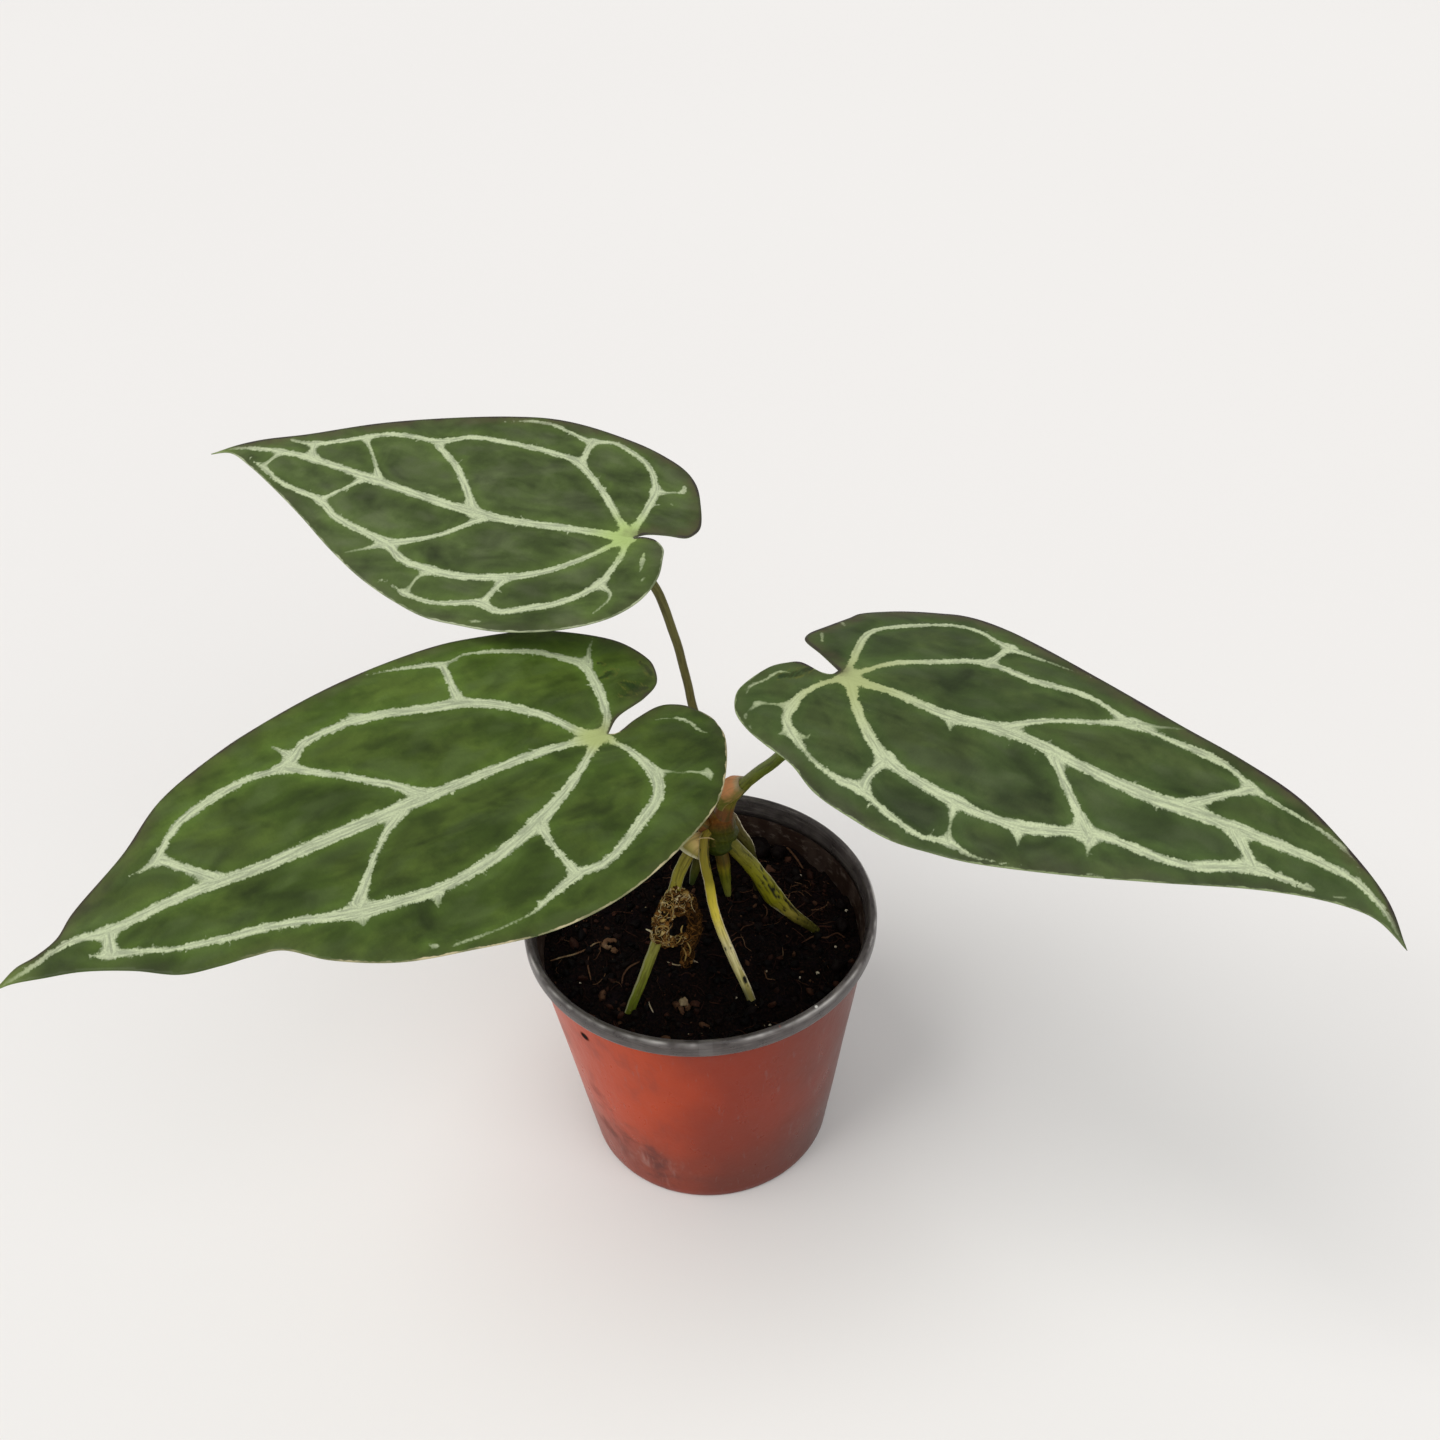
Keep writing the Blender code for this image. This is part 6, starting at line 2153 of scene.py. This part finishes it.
FRONT_LEFT = Blade(
    name="front_left", seed=2,
    surface=LeafSurface(seat=(-18.5, -25.0, 156.0), azimuth=-151.0, pitch=3.0, roll=-7.5,
                        droop=12.5, bend=0.0, twist=-7.5, arch=3.0, fold=-5.0, lobe=3.5),
    left=((-2, 0), (-3.5, 0.5), (-9, -1.5), (-16, -3), (-19.5, -2), (-22, 0), (-24.5, 5.5),
          (-24.5, 8.5), (-24, 12), (-19.5, 20.5), (-13, 28.5), (-5.5, 33.5), (8, 39.5), (17, 42),
          (26.5, 43), (34.5, 42.5), (47, 39.5), (60, 35.5), (71.5, 28.5), (78.5, 22), (84, 20.5),
          (89.5, 19.5), (96.5, 17.5), (104, 12), (112.5, 7), (119, 4.5), (124.5, 2.5), (127.5, 2)),
    right=((-2, 0), (-6, -3.5), (-14.5, -6.5), (-19, -9.5), (-21, -14.5), (-21, -17.5),
           (-17.5, -25.5), (-7, -34), (1, -37.5), (10.5, -39.5), (19.5, -40.5), (34, -39.5),
           (48.5, -37), (63.5, -33), (72.5, -30), (87.5, -23), (98, -14), (110.5, -6),
           (114.5, -2.5), (119, -1), (123, -0.5), (127.5, 2)),
    veins=(
        Vein(((0, 0), (12.5, -1), (40, 0), (71.5, 1.5), (91, 0.5), (106, 1), (112.5, -0.5),
             (120, 1), (126, 1.8)), (2.0, 2.2, 2.5, 2.8, 3.2, 3.5, 3.2, 2.8, 2.6, 2.2, 1.6, 0.7)),
        Vein(((0.5, -0.5), (3.5, -3), (9, -11), (19.5, -19.5), (30, -22.5), (44, -25.5), (53, -25),
             (57, -24), (62.5, -20), (70, -20), (78.5, -18.5), (85.5, -16), (91.5, -11), (93, -9.5),
             (99, -8.5)), (2.0, 2.2, 2.7, 2.9, 2.5, 2.2, 2.0, 1.6, 2.3, 1.6, 0.8), 4.0),
        Vein(((84, -0.5), (91.5, -9)), (2.4, 1.9, 2.1)),
        Vein(((40, -0.5), (44.5, -5.5), (62.5, -19.5)), (2.8, 2.0, 1.7, 1.9, 2.4)),
        Vein(((-1, -0.5), (-3.5, -4), (-5, -8), (-6.5, -17.5), (-6.2, -22), (-2, -26.5), (0.5, -29),
             (10.5, -33.5), (16, -35), (20.5, -34), (29.5, -36), (40, -38)), (1.6, 2.0, 2.6, 2.4,
             2.0, 1.6, 1.2, 0.7, 1.3, 1.0, 0.5), 9.0),
        Vein(((23, -22.5), (22, -33)), (2.3, 1.7, 1.4)),
        Vein(((-7.9, -21.5), (-10.0, -25.3), (-11.4, -27.0), (-12.9, -29.1)), (1.6, 0.9, 0.7, 0.5),
             3.0),
        Vein(((1.5, 1.5), (13, 11), (25, 18), (36, 22), (47, 23.5), (61.5, 21.5), (75, 17),
             (93, 12.5), (107, 6), (110, 5)), (1.6, 1.9, 2.4, 2.9, 3.2, 3.0, 2.8, 2.6, 3.0, 3.4,
             2.4, 2.0, 2.0, 1.7, 1.2, 1.8, 1.0), 2.5),
        Vein(((105.5, 1.5), (106.5, 6)), (2.6, 2.2)),
        Vein(((46, 1.5), (52.5, 7), (62, 19)), (2.3, 1.7, 1.4, 1.5, 2.0, 2.8)),
        Vein(((-1.5, 2), (-3.5, 8), (-4.5, 13), (-4.5, 16.5), (-3, 20.5), (-0.5, 23.5), (2.5, 25.5),
             (9.5, 30), (16, 33), (21.5, 33), (30.4, 36), (34, 37.3), (41.3, 37.6), (50.1, 36.9)),
             (1.4, 1.6, 2.4, 2.8, 2.6, 2.5, 2.6, 2.3, 2.2, 2.0, 1.9, 1.8, 1.3, 0.5, 0.5, 0.8, 0.5)),
        Vein(((52.9, 35.6), (53.8, 34.6)), (0.9, 0.6)),
        Vein(((22.5, 17), (23, 23.5), (22, 32.5)), (2.8, 1.7, 1.3, 1.6, 2.2)),
        Vein(((-5, 15.5), (-8.1, 17.0), (-9.5, 18.1), (-11.5, 18.8), (-13.2, 20.0), (-14.6, 21.0)),
             (2.0, 0.8, 0.5, 0.35, 0.7, 0.6, 0.9)),
        Vein(((-15.2, 19.6), (-14.8, 21.0), (-14.1, 22.9)), (0.3, 0.9, 0.3)),
        Vein(((-13.0, 0.6), (-15.8, 1.5), (-18.0, 2.8), (-19.1, 4.5), (-19.6, 6.7), (-19.8, 8.4),
             (-20.8, 9.7)), (0.3, 0.35, 0.4, 1.1, 1.0, 1.0, 0.8, 0.3)),
        Vein(((48, 24.5), (49, 27.5)), (1.3, 0.4)),
        Vein(((62.5, 22), (63, 24.5)), (1.3, 0.4)),
        Vein(((60.5, -22), (63, -26)), (1.5, 0.5)),
        Vein(((44, -25.5), (45.5, -28)), (1.3, 0.4))),
    finish=LeafFinish(painted_sheen=(0.056, 0.086, 0.021), right_gain=0.30, left_gain=-0.05,
                      left_edge=(0.50, 0.43, 0.26), left_width=0.34, edge_reach=92.0,
                      right_edge=(0.050, 0.040, 0.026), right_width=0.7, right_tint=0.35,
                      glow_share=0.3),
    # The blotches on the lobe are painted shadows of creases.
    blotches=(Vein(((-7.7, -15.7), (-10.1, -16.1), (-12.9, -16.9)), (0.6, 2.2, 0.5)),
              Vein(((-12.0, -12.4), (-13.9, -9.6), (-16.3, -8.9)), (1.2, 3.4, 0.8)),
              Vein(((-9.7, -8.9), (-12.6, -8.3)), (0.6, 1.6, 0.6)), Vein(((-18.6, -17.0),
              (-19.0, -14.8), (-19.0, -12.2)), (0.8, 1.8, 1.2)), Vein(((-9.6, -20.6),
              (-11.2, -19.4)), (0.6, 1.4, 0.5))))

RIGHT = Blade(
    name="right", seed=3,
    surface=LeafSurface(seat=(34.0, -28.0, 171.0), azimuth=-33.5, pitch=0.5, roll=4.5, droop=25.0,
                        bend=2.0, twist=19.5, arch=2.5, fold=5.5, lobe=9.5),
    left=((-3, 1.5), (-9, 5), (-15, 8.5), (-15.5, 11), (-13.5, 16), (-11, 21.5), (-10, 24),
          (-4.5, 28), (1, 30.5), (6, 32), (10, 33), (15, 33), (22.5, 31.5), (30.5, 29), (46, 24),
          (64.5, 19), (78, 16.5), (90.5, 13.5), (102, 8), (112, 2), (119, -5)),
    right=((-3, 1.5), (-3.5, 0), (-5.5, -0.5), (-11.5, 0.5), (-14, -1), (-16.5, -3.5), (-19, -10.5),
           (-19, -13.5), (-16.5, -18), (-12, -21), (-6.5, -23), (0.5, -25), (8, -29), (17, -31),
           (26, -32), (34, -31), (41.5, -29.5), (57.5, -24), (74, -17), (90, -9.5), (100, -5.5),
           (107, -3.5), (112, -3), (119, -5)),
    veins=(
        Vein(((0, 0), (12, 0.2), (23.5, -1), (36, 0.5), (60, -1.5), (80, 0), (102.5, 2), (110, 0.5),
             (118, -4.2)), (2.4, 2.2, 2.3, 3.0, 2.8, 2.6, 2.6, 3.2, 3.2, 2.4, 2.6, 1.9, 1.5, 0.7)),
        Vein(((0, 1), (7, 10), (12.5, 13), (23, 18), (33.5, 17), (46, 17.5), (56.5, 14.5),
             (74.5, 13.5), (78, 12.5), (82, 10.5), (100.5, 7.6), (106, 4.4)), (1.4, 1.7, 1.8, 1.9,
             1.7, 1.8, 2.2, 1.7, 1.3, 1.4, 1.4, 2.4, 1.4, 1.1, 0.9, 1.2, 0.6), 5.0),
        Vein(((73, 1), (82, 10.5)), (2.4, 1.8, 2.0)),
        Vein(((34, 0.5), (40, 6), (56.5, 14.5)), (2.2, 1.7, 1.5, 1.5, 2.2)),
        Vein(((56.5, 14.5), (61.3, 16.3), (65.7, 18.3), (66.9, 19.0)), (1.3, 0.6, 0.5, 0.4)),
        Vein(((-1, 2.5), (-4, 16.5), (-2.5, 20), (8, 27), (12, 28.2), (15.5, 28.5), (25.5, 25),
             (37, 24), (44, 23.6)), (1.3, 1.9, 2.0, 1.6, 1.8, 1.3, 1.3, 1.2, 1.6, 1.0, 0.6, 0.5),
             6.0),
        Vein(((23.5, 18), (25.5, 25.5)), (1.9, 1.6, 1.5)),
        Vein(((1, -1), (8, -9), (16.5, -15.5), (33.5, -19), (46, -18.5), (62, -13), (69, -12.6),
             (76.5, -11.5), (88.6, -5.5), (94.3, -4.8), (97.0, -4.1)), (2.0, 2.0, 2.2, 2.6, 2.5,
             2.4, 2.6, 2.4, 2.2, 2.3, 3.0, 2.3, 2.1, 1.9, 2.0, 1.8, 2.7, 2.1, 1.7, 1.3), 2.0),
        Vein(((97.4, -4.2), (98.9, -3.9), (100.5, -3.8)), (0.8, 0.9, 0.5), 1.5),
        Vein(((103.2, -3.2), (105.2, -2.3)), (0.4, 0.5)),
        Vein(((82.5, -0.5), (88, -5.5)), (3.0, 1.8, 2.4)),
        Vein(((46, -1.5), (58.5, -14)), (1.8, 1.7, 1.9, 2.9)),
        Vein(((59.5, -14.5), (60.5, -18.5)), (1.8, 0.8, 0.4)),
        Vein(((-1, 0), (-6, -7.5), (-6.5, -13.5), (-5.5, -16), (4.5, -22.5), (9.5, -24),
             (16, -24.5), (24.5, -27.5), (31, -28.6), (36, -27.5), (42, -28), (51, -25.2)), (1.3,
             1.4, 2.0, 2.2, 1.8, 1.4, 1.0, 1.4, 2.2, 1.5, 1.4, 1.3, 1.2, 1.4, 0.9, 0.8, 0.5), 10.0),
        Vein(((17, -16), (15.8, -21), (16, -24)), (2.6, 2.1, 2.0, 2.3)),
        Vein(((33.5, -19), (34.5, -23), (36, -27.5)), (2.2, 1.2, 0.6, 0.8, 0.8)),
        Vein(((-6.8, -11.8), (-11.0, -13.1), (-13.0, -13.8), (-13.9, -14.2)), (1.2, 0.7, 0.45,
             0.2)),
        Vein(((-13.2, -13.9), (-13.4, -15.2), (-13.9, -16.2)), (0.2, 0.4, 0.2)),
        Vein(((-3.4, -18.0), (-4.6, -18.8), (-5.5, -19.9)), (0.7, 0.4, 0.2)),
        Vein(((-0.6, -18.0), (0.4, -17.7), (0.6, -16.8)), (0.5, 0.4, 0.25)),
        Vein(((-11.5, -3.4), (-14.1, -4.4), (-15.4, -7.6), (-16.4, -8.9), (-17.4, -10.6),
             (-16.9, -12.6)), (0.30, 0.8, 0.9, 0.8, 0.9, 0.4)),
        Vein(((-14.1, -17.9), (-13.6, -18.7)), (0.55, 0.4)),
        Vein(((-11.7, -20.1), (-11.0, -20.6)), (0.5, 0.4)),
        Vein(((46.5, -19), (48, -22)), (1.5, 0.5)),
        Vein(((-13.0, 12.6), (-11.2, 9.5)), (0.8, 0.7)),
        Vein(((-12.5, 18.9), (-11.3, 18.5), (-10.1, 17.6)), (0.8, 1.0, 0.7)),
        Vein(((24, -0.8), (25.5, -4.5)), (1.4, 0.4)),
        Vein(((62, -21.5), (66, -20.5)), (0.5, 0.8, 0.4), 1.0)),
    finish=LeafFinish(deep=(0.038, 0.060, 0.016), warm=(0.053, 0.077, 0.021),
                      fresh=(0.060, 0.105, 0.022), painted_sheen=(0.056, 0.077, 0.030), heart_reach=30.0,
                      lime=(0.37, 0.42, 0.17), glow_share=0.3, fray=0.66, slim=0.10,
                      right_gain=-0.22, left_edge=(0.036, 0.028, 0.024), left_width=0.9,
                      left_tint=0.6, right_edge=(0.22, 0.27, 0.13), right_width=0.32,
                      right_tint=0.15, tip=(0.050, 0.070, 0.022)),
    # The blotches on the lobe are painted shadows of creases.
    blotches=(Vein(((-13.2, -5.6), (-10.2, -3.0), (-8.1, -0.4)), (1.4, 2.6, 1.2)),
              Vein(((-14.6, 13.6), (-12.4, 14.6)), (0.8, 2.0, 0.8))))

GREEN_PETIOLE = StalkFinish(
    ((0.0, (0.11, 0.040, 0.012)), (0.07, (0.15, 0.060, 0.018)), (0.11, (0.15, 0.120, 0.016)),
     (0.20, (0.14, 0.145, 0.020)), (0.36, (0.10, 0.130, 0.016)), (0.75, (0.068, 0.098, 0.012)),
     (1.0, (0.13, 0.17, 0.040))),
    (0.038, 0.046, 0.008), (0.17, 0.16, 0.05), 0.6, 0.35, 0.46)
BROWN_PETIOLE = StalkFinish(
    ((0.0, (0.12, 0.06, 0.024)), (0.3, (0.115, 0.095, 0.026)), (0.8, (0.118, 0.108, 0.032)),
     (1.0, (0.14, 0.15, 0.045))),
    (0.055, 0.046, 0.014), (0.17, 0.15, 0.065), 0.6, 0.35, 0.46)

PETIOLES = (
    (BACK_LEFT, ((5.8, 3.6, 103), (4.6, 7.4, 108), (3.4, 9.5, 115), (2.3, 11.1, 125.5),
                 (0.9, 13.5, 133.5), (-3.3, 19.3, 153), (-7.6, 22.4, 164)),
     (2.2, 1.15, 1.05, 1.1, 1.2), BROWN_PETIOLE, 41),
    (FRONT_LEFT, ((5.0, 2.8, 101.5), (0.8, 1.0, 106.5), (-3.4, -3.2, 114.5), (-9.0, -10.4, 128),
                  (-14.2, -17.8, 141), (-17.2, -22.0, 148)),
     (2.2, 1.3, 1.2, 1.2, 1.3), GREEN_PETIOLE, 42),
    (RIGHT, ((6.2, 2.8, 103.5), (8.2, 2.3, 111.8), (10.2, 0.6, 116.2), (15.6, -4.5, 126),
             (20.7, -9.8, 135.2), (25.4, -15.2, 146), (31.0, -22.9, 160)),
     (2.7, 1.5, 1.4, 1.4, 1.45), GREEN_PETIOLE, 43))

LEFT_ROOT = Stalk(
    "left_root",
    ((4.0, 1.8, 101), (-0.5, -0.6, 99.6), (-4.3, -3.9, 94.6), (-6, -6.3, 90.6), (-9.1, -9.4, 85),
     (-11.1, -12.9, 79.2), (-15.7, -18.4, 69.7), (-18.8, -21.6, 63), (-20.5, -23.5, 57)),
    (1.7, 1.55, 1.4, 1.35, 1.25, 1.1),
    StalkFinish(((0.0, (0.20, 0.15, 0.035)), (0.24, (0.28, 0.245, 0.026)),
                 (0.40, (0.21, 0.190, 0.020)), (0.58, (0.30, 0.29, 0.060)),
                 (0.70, (0.23, 0.255, 0.030)), (0.84, (0.135, 0.172, 0.012)),
                 (1.0, (0.030, 0.045, 0.006))),
                (0.075, 0.062, 0.008), (0.34, 0.31, 0.11), 0.6, 0.35, 0.5, (0.42, 0.41, 0.22)),
    Slot.ROOT, ("root_left",), 51, 0.05, 0.15,
    ridges=(Crack(30.0, 54.0, -58.0, 0.8), Crack(8.0, 22.0, -74.0, 0.5),
            Crack(8.0, 20.0, 76.0, 0.4)))

CENTRE_ROOT = Stalk(
    "centre_root",
    ((5.0, 2.4, 103.8), (2.4, -0.8, 103.2), (1.9, -2.7, 100.4), (2, -4.4, 97), (2.8, -6.9, 92.3),
     (3.5, -9.2, 87.6), (4.8, -11.5, 82.8), (8.6, -16.2, 73.1), (12, -20.3, 65), (14.2, -23, 57)),
    (1.3, 1.25, 1.2, 1.25, 1.15, 1.0),
    # The yellow middle, from share 0.34 to 0.74, is the root's own yellow made lighter to stand in
    # for light, with a painted highlight at 0.60.
    StalkFinish(((0.0, (0.15, 0.10, 0.022)), (0.14, (0.20, 0.165, 0.018)),
                 (0.26, (0.27, 0.225, 0.016)), (0.34, (0.66, 0.53, 0.050)),
                 (0.44, (0.80, 0.66, 0.085)), (0.60, (0.96, 0.85, 0.46)),
                 (0.74, (0.82, 0.73, 0.32)), (0.82, (0.26, 0.24, 0.10)),
                 (0.93, (0.11, 0.085, 0.050)), (1.0, (0.05, 0.04, 0.02))),
                (0.30, 0.23, 0.020), (0.30, 0.13, 0.030), 0.6, 0.20, 0.5, (0.80, 0.70, 0.52)),
    Slot.ROOT, ("root_center",), 52, 0.06, 0.15,
    cracks=(Crack(42.0, 44.4, 30.0, 0.8), Crack(33.0, 34.4, -40.0, 0.3),
            Crack(3.0, 13.0, 66.0, 0.35)),
    ridges=(Crack(18.0, 50.0, 68.0, 0.55), Crack(4.0, 30.0, -68.0, 0.4)))

RIGHT_ROOT = Stalk(
    "right_root",
    ((5.5, 2.4, 101), (8.4, 1.2, 98.8), (12.9, 1.4, 91.6), (16.2, 1.4, 85.4), (18.7, 1.3, 79.8),
     (22, 1.5, 74.7), (26.3, 2.0, 69.4), (29.9, 2.4, 65), (34, 2.8, 59.5)),
    (1.75, 1.9, 2.0, 2.5, 1.6, 1.2, 1.0),
    StalkFinish(((0.0, (0.10, 0.09, 0.014)), (0.16, (0.17, 0.155, 0.016)),
                 (0.30, (0.23, 0.22, 0.010)), (0.50, (0.23, 0.22, 0.007)),
                 (0.64, (0.33, 0.27, 0.045)), (0.76, (0.075, 0.066, 0.009)),
                 (1.0, (0.035, 0.036, 0.007))),
                (0.055, 0.052, 0.006), (0.34, 0.31, 0.085), 0.7, 0.35, 0.5, (0.50, 0.46, 0.28)),
    Slot.ROOT, ("root_right",), 53, 0.07, 0.2,
    cracks=(Crack(20.5, 26.5, 20.0, 0.55), Crack(27.5, 35.5, 52.0, 0.6),
            Crack(14.5, 17.0, 58.0, 0.5), Crack(17.0, 20.0, 30.0, 0.25),
            Crack(22.0, 26.0, 48.0, 0.25), Crack(29.0, 31.5, -10.0, 0.25)),
    ridges=(Crack(3.0, 42.0, 88.0, 0.9), Crack(26.0, 33.0, -60.0, 0.8)))

BACK_ROOT = Stalk(
    "back_root",
    ((6.2, 3.4, 102.5), (8.5, 6.4, 102.6), (9.6, 8.5, 98.8), (11.1, 10.8, 93), (13.0, 13.1, 86.6),
     (14.4, 15.8, 77.9), (15.4, 18.6, 68.4), (16, 20.4, 57)),
    (1.5, 1.5, 1.45, 1.4, 1.3, 1.2),
    StalkFinish(((0.0, (0.12, 0.075, 0.026)), (0.2, (0.125, 0.10, 0.026)),
                 (0.4, (0.085, 0.080, 0.014)), (0.6, (0.040, 0.036, 0.008)),
                 (1.0, (0.02, 0.018, 0.006))),
                (0.030, 0.022, 0.006), (0.22, 0.19, 0.08), 0.6, 0.35, 0.55, (0.86, 0.76, 0.54)),
    Slot.ROOT, ("root_back",), 54, 0.07, 0.2, ridges=(Crack(1.0, 26.0, 82.0, 0.8),))

TIP_FINISH = StalkFinish(
    ((0.0, (0.09, 0.055, 0.012)), (0.30, (0.105, 0.065, 0.010)), (0.42, (0.22, 0.185, 0.012)),
     (0.55, (0.12, 0.130, 0.008)), (0.80, (0.16, 0.165, 0.018)), (1.0, (0.13, 0.14, 0.030))),
    (0.030, 0.036, 0.004), (0.17, 0.16, 0.04), 0.5, 0.3, 0.5, (0.30, 0.30, 0.20))
DARK_TIP_FINISH = StalkFinish(
    ((0.0, (0.10, 0.070, 0.016)), (0.5, (0.085, 0.085, 0.010)), (0.8, (0.045, 0.070, 0.012)),
     (1.0, (0.035, 0.050, 0.018))),
    (0.030, 0.036, 0.004), (0.17, 0.16, 0.05), 0.5, 0.3, 0.5, (0.34, 0.34, 0.24))

ROOT_TIPS = (
    Stalk("middle_tip", ((5.4, 1.6, 98.5), (6.4, 0.9, 94), (6.7, 0.7, 89.5), (7.5, 0.2, 81)),
          (1.9, 1.75, 1.35, 0.75), TIP_FINISH, Slot.STEM, (), 55, 0.06, 0.1),
    Stalk("left_tip", ((3.6, 1.2, 98.5), (0.9, -0.2, 96.5), (-0.4, -0.6, 92.5), (-1.8, -0.6, 86.5)),
          (1.4, 1.3, 1.15, 0.6), DARK_TIP_FINISH, Slot.STEM, (), 56, 0.06, 0.1,
          ridges=(Crack(5.0, 14.0, -66.0, 0.4),)),
    Stalk("small_tip", ((2.6, 2.0, 99.0), (-1.8, 1.2, 97.2), (-4.2, 0.2, 93.5)),
          (1.1, 0.95, 0.55), DARK_TIP_FINISH, Slot.STEM, (), 57, 0.06, 0.1))

PINK_SCALE = ScaleFinish(
    ((0.0, (0.14, 0.09, 0.022)), (0.16, (0.17, 0.150, 0.022)), (0.44, (0.20, 0.170, 0.030)),
     (0.54, (0.50, 0.215, 0.080)), (0.86, (0.62, 0.270, 0.120)), (0.94, (0.46, 0.32, 0.18)),
     (1.0, (0.30, 0.25, 0.16))),
    (0.36, 0.20, 0.08), front_share=0.85)
TAN_SCALE = ScaleFinish(
    ((0.0, (0.42, 0.25, 0.090)), (0.4, (0.70, 0.50, 0.20)), (0.64, (0.52, 0.40, 0.13)),
     (0.84, (0.26, 0.22, 0.050)), (0.92, (0.50, 0.46, 0.28)), (1.0, (0.60, 0.56, 0.40))),
    (0.28, 0.19, 0.07))


def main() -> None:
    """Builds the studio and every piece of the plant and its pot."""
    logging.basicConfig(level=logging.INFO, format="%(name)s: %(message)s")
    Studio().build()
    Pot().build()
    Soil().build()
    Stem().build()
    petioles = [petiole(*sizes) for sizes in PETIOLES]
    for stalk in (*petioles, LEFT_ROOT, CENTRE_ROOT, RIGHT_ROOT, BACK_ROOT, *ROOT_TIPS):
        stalk.build()
    Scale("pink_scale", petioles[2], 7.2, 19.0, (0.25, 0.7, 1.4, 1.8, 1.7, 0.9, -0.1),
          (-0.9, 0.1, 0.60), (80, 92, 104, 112), PINK_SCALE, ("sheath_right",), 4, hug=0.85).build()
    Scale("tan_scale", LEFT_ROOT, 2.2, 7.4, (0.45, 1.1), (-0.35, -0.75, 0.75), (95, 110, 110),
          TAN_SCALE, ("sheath_left",), 6).build()
    FibreMat().build()
    for blade in (BACK_LEFT, FRONT_LEFT, RIGHT):
        blade.build()


if __name__ == "__main__":
    main()
